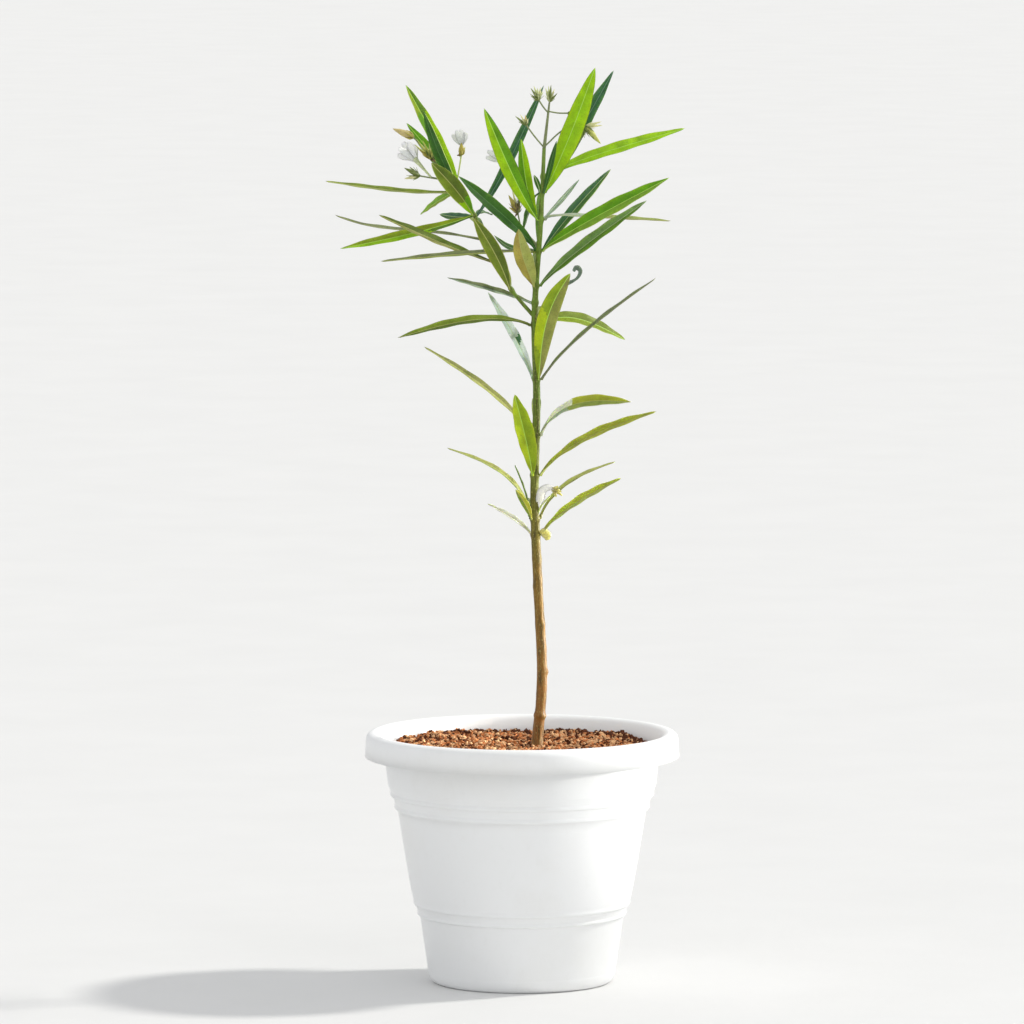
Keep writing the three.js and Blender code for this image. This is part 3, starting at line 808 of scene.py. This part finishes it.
def pot_material():
    """White moulded plastic with a soft sheen, faint scuffs, and a little dust on it."""
    inputs = [("Subsurface Weight", 0.08), ("Subsurface Radius", (0.004, 0.004, 0.004))]
    finish = Finish("pot_plastic", 0.38, inputs)
    white = srgb(240, 241, 241)
    dust = finish.span(finish.grain(9, 6), 0.0, 0.35, 0.5, 0.8)
    scuffs = finish.span(finish.grain(160, 6, (1, 1, 0.5)), 0.0, 0.1, 0.55, 0.75)
    dusty = finish.blend(dust, white, srgb(226, 224, 217))
    finish.paint(finish.blend(scuffs, dusty, srgb(216, 216, 212)), finish.span(finish.grain(40, 5), 0.3, 0.5))
    finish.relief(finish.grain(900, 3), 0.03)
    finish.relief(finish.grain(14, 2), 0.4, 0.4)
    return finish.material


def crumb_material(name, colour):
    """Dry coir: rough, fibrous and unevenly brown."""
    finish = Finish(name, 0.9, [("Specular IOR Level", 0.2)])
    base = srgb(*colour)
    patches = finish.ramp(finish.grain(260, 4), [(0.3, shade(base, 0.5)), (0.7, shade(base, 1.35))])
    finish.paint(patches)
    finish.relief(finish.grain(1300, 4), 0.5)
    return finish.material


def blossom_material(name, colour):
    """A bud, sepal or petal: soft, a little clear, with streaks along it that are fainter on white."""
    finish = Finish(name, 0.55, clearness(0.4, (0.002, 0.002, 0.0015)))
    base = srgb(*colour)
    streaks = finish.grain(500, 3)
    darkest = 0.72 + 0.18 * min(base)
    finish.paint(finish.ramp(streaks, [(0.3, shade(base, darkest)), (0.7, shade(base, 1.15))]))
    finish.relief(streaks, 0.05)
    return finish.material


def quadratic(start, control, end, steps):
    """Points after start on a quadratic curve, up to its end."""
    start, control, end = map(np.array, (start, control, end))
    t = np.linspace(0, 1, steps + 1)[1:, None]
    return [*((1 - t) ** 2 * start + 2 * t * (1 - t) * control + t**2 * end)]


def rounded(points, radius):
    """An outline with each of its corners cut by a short curve."""
    points = [np.array(point, float) for point in points]
    made = [points[0]]
    for before, corner, after in zip(points, points[1:], points[2:]):
        reach_in = min(radius, np.linalg.norm(corner - before) / 3)
        reach_out = min(radius, np.linalg.norm(after - corner) / 3)
        enter = corner + unit(before - corner) * reach_in
        leave = corner + unit(after - corner) * reach_out
        made += [enter, *quadratic(enter, corner, leave, 3)]
    return [*made, points[-1]]


def inside_outline(inset):
    """The inside of the pot from the fill's surface down to the middle of its floor."""
    wall = [(radius - WALL - inset, height) for radius, height in WALL_COURSE]
    surface = (NECK_RADIUS - WALL - inset, SOIL_TOP)
    return [surface, *wall[::-1], (FOOT_RADIUS - inset, FLOOR + inset), (0, FLOOR + inset)]


def pot_outline():
    """Pot section: up the outside, over the rolled rim and down the inside."""
    skirt_foot = POT_HEIGHT - RIM_SKIRT
    skirt_inside = RIM_RADIUS - WALL
    underside = POT_HEIGHT - WALL
    shoulder = POT_HEIGHT - RIM_ROUND
    skirt_top = (RIM_RADIUS - SKIRT_LEAN, shoulder)
    foot = (FOOT_RADIUS, 0)
    neck = (MOUTH_RADIUS - WALL, shoulder - 1)
    crown = (RIM_CROWN, POT_HEIGHT)
    rim = [
        *quadratic(neck, (MOUTH_RADIUS, underside), (RIM_CROWN, underside), RIM_STEPS),
        *quadratic((RIM_CROWN, underside), (skirt_inside, underside), (skirt_inside, skirt_foot), RIM_STEPS),
        (skirt_inside, skirt_foot + SKIRT_EDGE),
        (RIM_RADIUS, skirt_foot),
        skirt_top,
        *quadratic(skirt_top, (RIM_RADIUS - SKIRT_LEAN, POT_HEIGHT), crown, RIM_STEPS),
        *quadratic(crown, (MOUTH_RADIUS, POT_HEIGHT), (MOUTH_RADIUS - MOUTH_LEAN, shoulder), RIM_STEPS),
    ]
    belly = WALL_COURSE.index(BELLY[0])
    lower, upper = WALL_COURSE[:belly], WALL_COURSE[belly + len(BELLY):]
    outside = rounded([foot, *lower, BELLY[0]], EDGE_ROUND)
    outside += [*quadratic(*BELLY, BELLY_STEPS)[:-1], *rounded([BELLY[-1], *upper, neck], EDGE_ROUND)]
    heel = quadratic(foot, (FOOT_RADIUS + FOOT_ROUND * 0.8, 0), WALL_COURSE[0], RIM_STEPS)
    climb = [point for point in outside if point[1] > WALL_COURSE[0][1]]
    return [(0, 0), (FOOT_RADIUS - 1, 0), foot, *heel, *climb, *rim, *rounded(inside_outline(0), EDGE_ROUND)]


def turned(piece, outline, turns):
    """Adds the surface that an outline from axis to axis sweeps round the axis."""
    angles = np.linspace(0, 2 * math.pi, turns, endpoint=False)
    middle = np.array([(float(radius), float(height)) for radius, height in outline[1:-1]])
    rings = np.zeros((len(middle), turns, 3))
    rings[:, :, 0] = middle[:, :1] * np.cos(angles)
    rings[:, :, 1] = middle[:, :1] * np.sin(angles)
    rings[:, :, 2] = middle[:, 1:]
    last = len(middle) * turns
    ends = [(0, 0, outline[0][1]), (0, 0, outline[-1][1])]
    faces = ring_faces(len(middle), turns, close_ends=False)
    faces += [[last, (side + 1) % turns, side] for side in range(turns)]
    top = last - turns
    faces += [[last + 1, top + side, top + (side + 1) % turns] for side in range(turns)]
    piece.add(np.vstack([rings.reshape(-1, 3), ends]), faces)


def pot():
    piece = Piece()
    turned(piece, pot_outline(), POT_TURNS)
    piece.build("pot_shell", [pot_material()], "pot_plastic", ["pot"])


def bed_height(x, y):
    """The uneven surface of the coir, heaped up towards the left and the back right."""
    swell = noise.fractal(Vector((x / BED_WAVE, y / BED_WAVE, BED_SLICE)), 1.0, 2.0, 5)
    heap = 2 * max(x, 0) * max(y, 0) / NECK_RADIUS**2 + max(-x, 0) / NECK_RADIUS
    return SOIL_TOP + BED_SWELL * swell + BED_HEAP * heap


def coir_bed():
    """The fill up to its uneven surface, between the crumbs."""
    edge = NECK_RADIUS - WALL - SOIL_INSET
    surface = [(edge * ring / BED_RINGS, SOIL_TOP) for ring in range(BED_RINGS - 1, -1, -1)]
    piece = Piece()
    turned(piece, [*inside_outline(SOIL_INSET)[::-1], *surface], BED_TURNS)
    for point in piece.points[0]:
        if point[2] == SOIL_TOP and math.hypot(point[0], point[1]) < edge - 1:
            point[2] = bed_height(point[0], point[1])
    piece.build("coir_bed", [crumb_material("coir_bed", BED_COLOUR)], "coir", ["coir_fill"])


def crumb_shapes(count, sizes, random):
    """Points of many lumpy crumbs, each an icosahedron pressed out of shape."""
    golden = (1 + 5**0.5) / 2
    corners = [(0, a, b * golden) for a in (-1, 1) for b in (-1, 1)]
    corners = np.array([np.roll(corner, turn) for corner in corners for turn in range(3)])
    corners /= np.linalg.norm(corners[0])
    lumps = corners * random.uniform(*CRUMB_LUMPS, (count, len(corners), 1))
    lumps *= random.uniform(*CRUMB_FLATNESS, (count, 1, 3))
    lumps *= random.uniform(*sizes, (count, 1, 1))
    spins = np.linalg.qr(random.normal(size=(count, 3, 3)))[0]
    return np.einsum("nij,nkj->nki", spins, lumps), hull_faces(corners)


def hull_faces(corners):
    """The triangles of an icosahedron, facing out."""
    edge = min(np.linalg.norm(corners[0] - other) for other in corners[1:]) * 1.01
    faces = []
    for first, second, third in combinations(range(len(corners)), 3):
        a, b, c = corners[[first, second, third]]
        if max(np.linalg.norm(side) for side in (a - b, b - c, a - c)) < edge:
            faces.append((first, second, third) if np.cross(b - a, c - a) @ a > 0 else (first, third, second))
    return np.array(faces)


def scattered(count, reach, random, near_back=False):
    """Places on the bed inside a radius, or crowded towards its back right edge."""
    radius = reach * np.sqrt(random.uniform(0, 1, count))
    angle = random.uniform(0, 2 * math.pi, count)
    if near_back:
        radius = reach * (1 - CLOD_BAND * random.uniform(0, 1, count) ** 2)
        angle = random.normal(CLOD_TURN, CLOD_SPREAD, count)
    x, y = radius * np.cos(angle), radius * np.sin(angle)
    return np.array([(a, b, bed_height(a, b)) for a, b in zip(x, y)])


def crumbs():
    """Loose crumbs of coir in three browns, and dark clods along the back right of the pot."""
    random = np.random.default_rng(SEED)
    reach = NECK_RADIUS - WALL - CRUMB_SIZES[1]
    for name, count in CRUMB_COUNTS.items():
        piece = Piece()
        lots = [(count, CRUMB_SIZES, reach, False)]
        if name == "coir_dark":
            lots.append((CLODS, CLOD_SIZES, NECK_RADIUS - WALL - CLOD_SIZES[1], True))
        for number, sizes, room, near_back in lots:
            lumps, faces = crumb_shapes(number, sizes, random)
            places = scattered(number, room, random, near_back)
            lumps += places[:, None] + UP * random.uniform(*CRUMB_SETTLE, (number, 1, 1))
            offsets = np.arange(number)[:, None, None] * lumps.shape[1]
            piece.add(lumps.reshape(-1, 3), (faces + offsets).reshape(-1, 3).tolist())
        piece.build(name, [crumb_material(name, CRUMB_COLOURS[name])], "coir", smooth=False)


STEM = Course(STEM_COURSE)
SHOOT = Course(SHOOT_COURSE)


def stem_radius(share):
    taper = (STEM_FOOT_RADIUS - STEM_TIP_RADIUS) * share**STEM_TAPER
    return STEM_FOOT_RADIUS - taper + FLARE * math.exp(-share * STEM.length / FLARE_HEIGHT)


def shoot_radius(share):
    return SHOOT_FOOT_RADIUS + (SHOOT_TIP_RADIUS - SHOOT_FOOT_RADIUS) * share


def bark_relief(point, radial, height, nodes):
    """How far the bark stands out at a point: swollen nodes, old scars and fine furrows."""
    swell = sum(math.exp(-(((height - node) / NODE_SPREAD) ** 2)) for node in nodes)
    place = (point[0] / FURROW_WIDTH, point[1] / FURROW_WIDTH, height / FURROW_LENGTH)
    furrows = noise.fractal(Vector(place), 0.8, 2.1, 4)
    fade = min(max((BARK_TOP - height) / BARK_FADE, BARK_LEAST), 1)
    relief = NODE_SWELL * swell + BARK_DEPTH * fade * furrows
    for scar, turn, size in SCARS:
        facing = max(radial @ (math.cos(turn), math.sin(turn), 0), 0)
        relief += size * facing**3 * math.exp(-(((height - scar) / SCAR_SPREAD) ** 2))
    return relief


def limb(name, replaces, course, radius_at, sides, steps, nodes):
    """A limb with the relief of its bark and the swollen nodes at its whorls."""
    rings = []
    for share in np.linspace(0, 1, steps + 1):
        centre = course.at(share)
        turn = turn_from_up(course.direction(share))
        ring = []
        for spoke in circle(sides) @ turn.T:
            surface = centre + spoke * radius_at(share)
            ring.append(surface + spoke * bark_relief(surface, spoke, centre[2], nodes))
        rings.append(ring)
    piece = Piece()
    piece.skin(rings)
    piece.build(name, [bark_material()], "bark", [replaces])


def leaf_half_width(share, width):
    blade = width * (4 * share * (1 - share)) ** LEAF_FULLNESS
    return max(blade, STALK_WIDTH if share < STALK_SHARE else 0.1) / 2


def leaf_columns(half_width):
    """Where the lines along a blade lie across it, from -1 to 1."""
    rib = min(MIDRIB_WIDTH / 2 / half_width, 0.5)
    margin = min(MARGIN_WIDTH / half_width, 0.2)
    half = [rib, rib + 0.25 * (1 - rib), rib + 0.6 * (1 - rib), max(1 - margin, 0.75), 1]
    return np.array([*[-part for part in half[::-1]], 0, *half])


def leaf_faces(rings, columns):
    """Faces of a blade: closed rings of its top and underside, then its tip."""
    sides = 2 * (columns - 1)
    faces = ring_faces(rings, sides, close_ends=False)
    last = (rings - 1) * sides
    faces += [[last + side, last + (side + 1) % sides, rings * sides] for side in range(sides)]
    return faces


def leaf_finishes(leaf, rings, columns, rear_first):
    """The finish of each face of a blade: its two halves, its midrib, its margins and its patch."""
    names = LEAF_FINISHES.index
    half = columns // 2
    rib = names(RIB_OF.get(leaf.near, "rib_olive"))
    # An edge tint, where given, takes the outermost column of a half; a cream edge there is a painted rim
    # light.
    rear, near = (
        [names(edge or tint), *[names(tint)] * (half - 2)]
        for edge, tint in ((leaf.rear_edge, leaf.rear), (leaf.near_edge, leaf.near))
    )
    first, second = (rear, near) if rear_first else (near, rear)
    top = [*first, rib, rib, *second[::-1]]
    finishes = np.tile([*top, *top[::-1]], (rings, 1))
    start, end, *tints = leaf.patch or (0, 0)
    for painted, tint in zip((leaf.near, leaf.rear), tints):
        for column in np.flatnonzero(finishes[-1] == names(painted)):
            shift = PATCH_WAVER * math.sin(PATCH_WAVES * column)
            first, last = (max(round((share + shift) * rings), 0) for share in (start, end))
            finishes[first:last, column] = names(tint)
    return finishes.ravel()


def leaf_path(leaf, root, share):
    """A point on the middle line of a leaf, from its root at the limb."""
    chord = np.array([leaf.across, leaf.back, leaf.up]) - root
    along = unit(chord)
    lift = unit(UP - along * along[2])
    arch = math.sin(math.pi * share ** (math.log(0.5) / math.log(leaf.peak)))
    return root + chord * share + lift * arch * leaf.bow


def leaf_blade(piece, leaf, centre, limb_radius, random):
    """Adds a leaf: a thin blade with a grooved midrib, a ribbed underside and wavy margins."""
    outward = unit(np.array([leaf.across, leaf.back, 0.0]))
    root = (limb_radius + GAP + COLLAR_WALL / 2) * outward
    phase = random.uniform(0, 2 * math.pi)
    length = np.linalg.norm([leaf.across, leaf.back, leaf.up])
    rings, places = [], []
    for share in np.linspace(0, 1, LEAF_STEPS + 1)[:-1]:
        here = leaf_path(leaf, root, share)
        ahead = unit(leaf_path(leaf, root, share + 0.01) - here)
        upper = unit(UP - ahead * ahead[2])
        side = np.cross(upper, ahead)
        rear_first = side[1] > 0
        turn = turn_about(ahead, math.radians(leaf.face) * (1 if rear_first else -1))
        upper, side = turn @ upper, turn @ side
        half_width = leaf_half_width(share, leaf.width)
        columns = leaf_columns(half_width)
        out = columns * half_width
        stalk = max(1 - share / STALK_SHARE, 0)
        wave = math.sin(phase + 2 * math.pi * RIPPLES * share)
        ripple = RIPPLE * leaf.width * wave * columns**2 * np.sign(columns)
        top = (LEAF_TROUGH * np.abs(out) + ripple) * (1 - stalk)
        groove = MIDRIB_DEPTH * np.exp(-((out / MIDRIB_WIDTH) ** 2))
        thick = BLADE_THICKNESS + (STALK_THICKNESS - BLADE_THICKNESS) * stalk
        body = thick * np.sqrt(np.clip(1 - columns**2, 0, 1)) + KEEL * groove
        above = here + np.outer(out, side) + np.outer(top - groove + STALK_RISE * thick * stalk, upper)
        below = here + np.outer(out, side) + np.outer(top - body, upper)
        rings.append(np.vstack([above[::-1], below[1:-1]]))
        across = np.concatenate([out[::-1], out[1:-1]])
        places.append(np.stack([across, share * length - VEIN_SLANT * np.abs(across)], 1))
    points = np.vstack([rings[0] - outward * limb_radius, *rings, leaf_path(leaf, root, 1)]) + centre
    places = np.vstack([places[0], *places, [[0, length]]])
    count = len(columns)
    finishes = leaf_finishes(leaf, LEAF_STEPS + 1, count, rear_first)
    piece.add(points, leaf_faces(LEAF_STEPS + 1, count), finishes, places)


def leaf_pieces():
    """All the leaves, joined into a piece for each of the record's slots."""
    random = np.random.default_rng(SEED)
    slots = {part["node"]: part["material_slot"] for part in frame["record"]["subparts"]}
    limbs = [
        ("leaf_whorl_{:02d}", STEM_WHORLS, STEM, stem_radius),
        ("shoot_whorl_{}", SHOOT_WHORLS, SHOOT, shoot_radius),
    ]
    pieces, nodes = {}, {}
    for pattern, whorls, course, radius_at in limbs:
        for number, (height, leaves) in enumerate(whorls.items(), 1):
            node = pattern.format(number)
            slot = slots[node]
            piece = pieces.setdefault(slot, Piece())
            nodes.setdefault(slot, []).append(node)
            share = course.share_at_height(height)
            for leaf in leaves:
                leaf_blade(piece, leaf, course.at(share), radius_at(share), random)
    materials = [leaf_material(name, colour) for name, colour in TINTS.items()]
    materials += [rib_material(name, colour) for name, colour in (RIBS | MARGIN_TINTS_AND_RIM_LIGHT).items()]
    for slot, piece in pieces.items():
        piece.build(slot.replace("leaf", "leaves"), materials, slot, nodes[slot])


def ribbon(piece, points, widths, normal, tint, cup, thickness, steps):
    """Adds a thin closed blade along a line of points: a petal, sepal or scrap."""
    course = Course(points, 12)
    rings = []
    across_shares = np.array([1, 0.5, 0, -0.5, -1, -0.5, 0, 0.5])
    for share in np.linspace(0, 1, steps + 1):
        ahead = course.direction(share)
        side = unit(np.cross(ahead, normal))
        upper = np.cross(side, ahead)
        width = np.interp(share, np.linspace(0, 1, len(widths)), widths)
        rise = cup * width / 2 * across_shares**2
        rise[5:] -= thickness * (1 - across_shares[5:] ** 2)
        rings.append(course.at(share) + np.outer(across_shares * width / 2, side) + np.outer(rise, upper))
    piece.skin(rings, blossom_finish(tint))


def spindle(piece, foot, direction, length, bud):
    """Adds a pointed bud whose folded petals wind round it."""
    turn = turn_from_up(direction)
    angles = np.linspace(0, 2 * math.pi, BUD_SIDES, endpoint=False)
    rings = []
    for share, swell in zip(BUD_SHARES, BUD_SWELLS):
        folds = 1 + BUD_FOLD * np.cos(SEPALS * angles + 3 * math.pi * share)
        ring = circle(BUD_SIDES) * folds[:, None]
        rings.append(foot + direction * share * length + ring @ turn.T * bud.radius * swell)
    piece.skin(rings, blossom_finish(bud.tint))


def calyx(piece, foot, direction, length, bud, random):
    """Adds the narrow pointed sepals round the foot of a bud."""
    turn = turn_from_up(direction)
    sepal = length * (SEPAL_REACH + SEPAL_REACH * bud.openness)
    widths = [bud.radius * 1.1, bud.radius * 0.95, 0.15]
    for number in range(SEPALS):
        angle = 2 * math.pi * number / SEPALS + random.uniform(-0.3, 0.3)
        outward = turn @ np.array([math.cos(angle), math.sin(angle), 0])
        reach = sepal * random.uniform(0.85, 1.15)
        line = [
            foot + outward * bud.radius * 0.3,
            foot + outward * bud.radius * 1.05 + direction * reach * 0.35,
            foot + outward * (bud.radius * 1.1 + bud.openness * reach * 0.5) + direction * reach,
        ]
        ribbon(piece, line, widths, -outward, bud.sepals, 0.3, 0.3, 6)


def pedicel_tube(piece, start, end, sag, steps, tint):
    course = Course([start, (start + end) / 2 - UP * sag, end])
    tube(piece, course, lambda share: PEDICEL_RADIUS, PEDICEL_SIDES, steps, tint)


def flower_head(pieces, foot, foot_radius, stalk, pedicels, random):
    """A thin main stalk, with pedicels that rise from it to their buds."""
    stalk = np.array(stalk, float)
    line = Course([foot, foot + stalk * 0.5, foot + stalk])
    taper = foot_radius - STALK_TIP_RADIUS
    tube(pieces["flower_stalks"], line, lambda share: foot_radius - taper * share, 10, 16, "stalk")
    for pedicel in pedicels:
        start = foot + stalk * pedicel.rise / stalk[2]
        end = start + np.array(pedicel.reach)
        pedicel_tube(pieces["flower_stalks"], start, end, pedicel.sag, 12, pedicel.tint)
        for bud in pedicel.buds:
            reach = np.array(bud[:3], float)
            direction, length = unit(reach), np.linalg.norm(reach)
            bud_foot = end - direction * BUD_ROOT
            spindle(pieces["buds"], bud_foot, direction, length, bud)
            calyx(pieces["buds"], bud_foot, direction, length, bud, random)


def faded_petals(piece):
    """Faded petals on a bud of the side shoot, and others caught on one of its leaves."""
    height, number = CAUGHT_LEAF
    leaf = SHOOT_WHORLS[height][number]
    caught = SHOOT.at(SHOOT.share_at_height(height)) + leaf_path(leaf, np.zeros(3), CAUGHT_SHARE)
    bud = np.array(FADED_END, float) + FADED_FOOT
    widths = [1.5, FADED_WIDTH * 0.8, FADED_WIDTH, FADED_WIDTH * 0.4]
    for foot, petals in ((bud, FADED_PETALS), (caught, CAUGHT_PETALS)):
        for reach in np.array(petals, float):
            line = [foot - reach * 0.1, foot + reach * 0.4 + UP * 1.2, foot + reach]
            ribbon(piece, line, widths, FRONT, "faded", 0.3, 0.3, 10)


def bloom(pieces, foot):
    """The open bloom: a pale tube that widens into ragged white petals."""
    start = foot + np.array(SHOOT_STALK) * BLOOM_RISE / SHOOT_STALK[2]
    end = start + np.array(BLOOM_PEDICEL)
    pedicel_tube(pieces["flower_stalks"], start, end, 1, 10, "stalk")
    throat = end + np.array(BLOOM_TUBE)
    line = Course([end, (end + throat) / 2, throat])
    tube(pieces["petals"], line, lambda share: 1.0 + 1.8 * share**2, 14, 14, "tube_green")
    along = unit(throat - end)
    widths = [2.0, BLOOM_PETAL_WIDTH * 0.7, BLOOM_PETAL_WIDTH, BLOOM_PETAL_WIDTH * 0.5]
    for reach in np.array(BLOOM_PETALS, float):
        outward = unit(reach - along * (reach @ along) + 1e-3)
        line = [throat - along * 3 + outward * 1.2, throat + reach * 0.3 + outward, throat + reach]
        ribbon(pieces["petals"], line, widths, FRONT - outward * 0.4, "white", 0.25, 0.35, 12)


def dry_leftovers(piece):
    """The curled scrap, the spent bloom and the dry bract that hang on the stem's whorls."""

    def on_whorl(height, points):
        return STEM.at(STEM.share_at_height(height)) + np.array(points, float)

    ribbon(piece, on_whorl(SCRAP_WHORL, SCRAP), SCRAP_WIDTHS, FRONT, "dry_teal", 0.5, 0.6, 30)
    hood = on_whorl(HOOD_WHORL, HOOD)
    ribbon(piece, hood, HOOD_WIDTHS, FRONT, "dry_white", 0.5, 0.5, 24)
    stalk = Course(on_whorl(HOOD_WHORL, HOOD_STALK))
    tube(piece, stalk, lambda share: HOOD_STALK_RADIUS, PEDICEL_SIDES, 14, "pale_stalk")
    tip = hood[-1]
    for reach, tint in zip(np.array(HOOD_SCRAPS, float), HOOD_SCRAP_TINTS):
        line = [tip - reach * 0.4, tip + reach * 0.3 - UP * 1.5, tip + reach - UP * 3]
        ribbon(piece, line, HOOD_SCRAP_WIDTHS, FRONT + reach * 0.06, tint, 0.6, 0.4, 10)
    ribbon(piece, on_whorl(BRACT_WHORL, BRACT), BRACT_WIDTHS, FRONT, "dry_yellow", 0.45, 0.5, 18)


def blossoms():
    """Stalks, buds, petals and dry leftovers, each kind joined into a piece."""
    random = np.random.default_rng(SEED)
    pieces = {name: Piece() for name in ("flower_stalks", "buds", "petals", "dry_scraps")}
    flower_head(pieces, STEM.at(1), STEM_TIP_RADIUS, TOP_STALK, TOP_PEDICELS, random)
    flower_head(pieces, SHOOT.at(1), SHOOT_TIP_RADIUS, SHOOT_STALK, SHOOT_PEDICELS, random)
    middle = STEM.at(STEM.share_at_height(MIDDLE_FOOT))
    flower_head(pieces, middle, STEM_TIP_RADIUS, MIDDLE_STALK, MIDDLE_PEDICELS, random)
    bloom(pieces, SHOOT.at(1))
    faded_petals(pieces["petals"])
    dry_leftovers(pieces["dry_scraps"])
    materials = [blossom_material(name, colour) for name, colour in BLOSSOM_TINTS.items()]
    heads = ["top_flower_head", "shoot_flower_head", "middle_flower_head"]
    nodes = {"flower_stalks": heads, "buds": heads, "petals": heads[1:2], "dry_scraps": []}
    for name, piece in pieces.items():
        piece.build(name, materials, "bud", nodes[name])


pot()
coir_bed()
crumbs()
limb("stem_bark", "stem", STEM, stem_radius, STEM_SIDES, STEM_STEPS, [*STEM_WHORLS, SCARS[0][0]])
limb("left_shoot_bark", "left_shoot", SHOOT, shoot_radius, SHOOT_SIDES, SHOOT_STEPS, list(SHOOT_WHORLS))
leaf_pieces()
blossoms()


# Camera in millimetres and degrees, then floor and lights in metres, as Blender takes them.
LOOK_AT = (-9.5, 0, 451)
CAMERA_DISTANCE = 9000
LOOK_DOWN = 5.7
MM_PER_PIXEL = 0.953
FRAME_PIXELS = 1024
SENSOR = 36
SIGHT = 100
FLOOR_SIZE = 120
SKY_COLOUR = (0.97, 0.98, 1.0, 1.0)
SKY_STRENGTH = 0.77
SUN_COLOUR = (1.0, 0.98, 0.93)
SUN_STRENGTH = 2.1
SUN_SPREAD = 6
SUN_PLACE = (3.8, 1.2, 3.4)
FILL_PLACE = (1.6, -2.4, 1.9)
FILL_TARGET = (0, 0, 0.4)
FILL_SIZE = 1.6
FILL_POWER = 8
RIM_POWER = 1150
RIM_CONE = 6.5
RIM_BLEND = 0.4
RIM_SIZE = 0.18
RIM_PLACE = (2.4, 0.35, 0.6)
RIM_TARGET = (0.015, 0, 0.345)


def aimed(name, data, place, target):
    """Puts a camera or a light in the scene, aimed at a target."""
    made = bpy.data.objects.new(name, data)
    bpy.context.scene.collection.objects.link(made)
    made.location = place
    made.rotation_euler = (Vector(target) - made.location).to_track_quat("-Z", "Y").to_euler()
    return made


def light(name, kind, place, target, power, colour, **values):
    """Adds a light. values are the settings of its kind."""
    data = bpy.data.lights.new(name, kind)
    data.energy = power
    data.color = colour
    for key, value in values.items():
        setattr(data, key, value)
    aimed(name, data, place, target)


def camera():
    data = bpy.data.cameras.new("camera")
    data.sensor_width = SENSOR
    data.lens = SENSOR * CAMERA_DISTANCE / (MM_PER_PIXEL * FRAME_PIXELS)
    data.clip_end = SIGHT
    tilt = math.radians(LOOK_DOWN)
    target = np.array(LOOK_AT) * MM
    place = target + CAMERA_DISTANCE * MM * np.array([0, -math.cos(tilt), math.sin(tilt)])
    bpy.context.scene.camera = aimed("camera", data, place, target)


def floor_material():
    finish = Finish("pale_floor", 0.8)
    finish.paint(finish.blend(finish.grain(6, 4), srgb(220, 220, 219), srgb(227, 227, 226)))
    return finish.material


def studio():
    """A plain pale floor under plain soft light, stronger from the right and behind."""
    bpy.ops.mesh.primitive_plane_add(size=FLOOR_SIZE)
    floor = bpy.context.object
    floor.name = "floor"
    floor.data.materials.append(floor_material())
    world = bpy.data.worlds.new("studio")
    world.use_nodes = True
    background = world.node_tree.nodes["Background"]
    background.inputs["Color"].default_value = SKY_COLOUR
    background.inputs["Strength"].default_value = SKY_STRENGTH
    bpy.context.scene.world = world
    bpy.context.scene.view_settings.view_transform = "Standard"
    light("sun", "SUN", SUN_PLACE, (0, 0, 0), SUN_STRENGTH, SUN_COLOUR, angle=math.radians(SUN_SPREAD))
    light("fill", "AREA", FILL_PLACE, FILL_TARGET, FILL_POWER, (1, 1, 1), shape="DISK", size=FILL_SIZE)
    light("rim", "SPOT", RIM_PLACE, RIM_TARGET, RIM_POWER, SUN_COLOUR, spot_size=math.radians(RIM_CONE),
          spot_blend=RIM_BLEND, shadow_soft_size=RIM_SIZE)


camera()
studio()
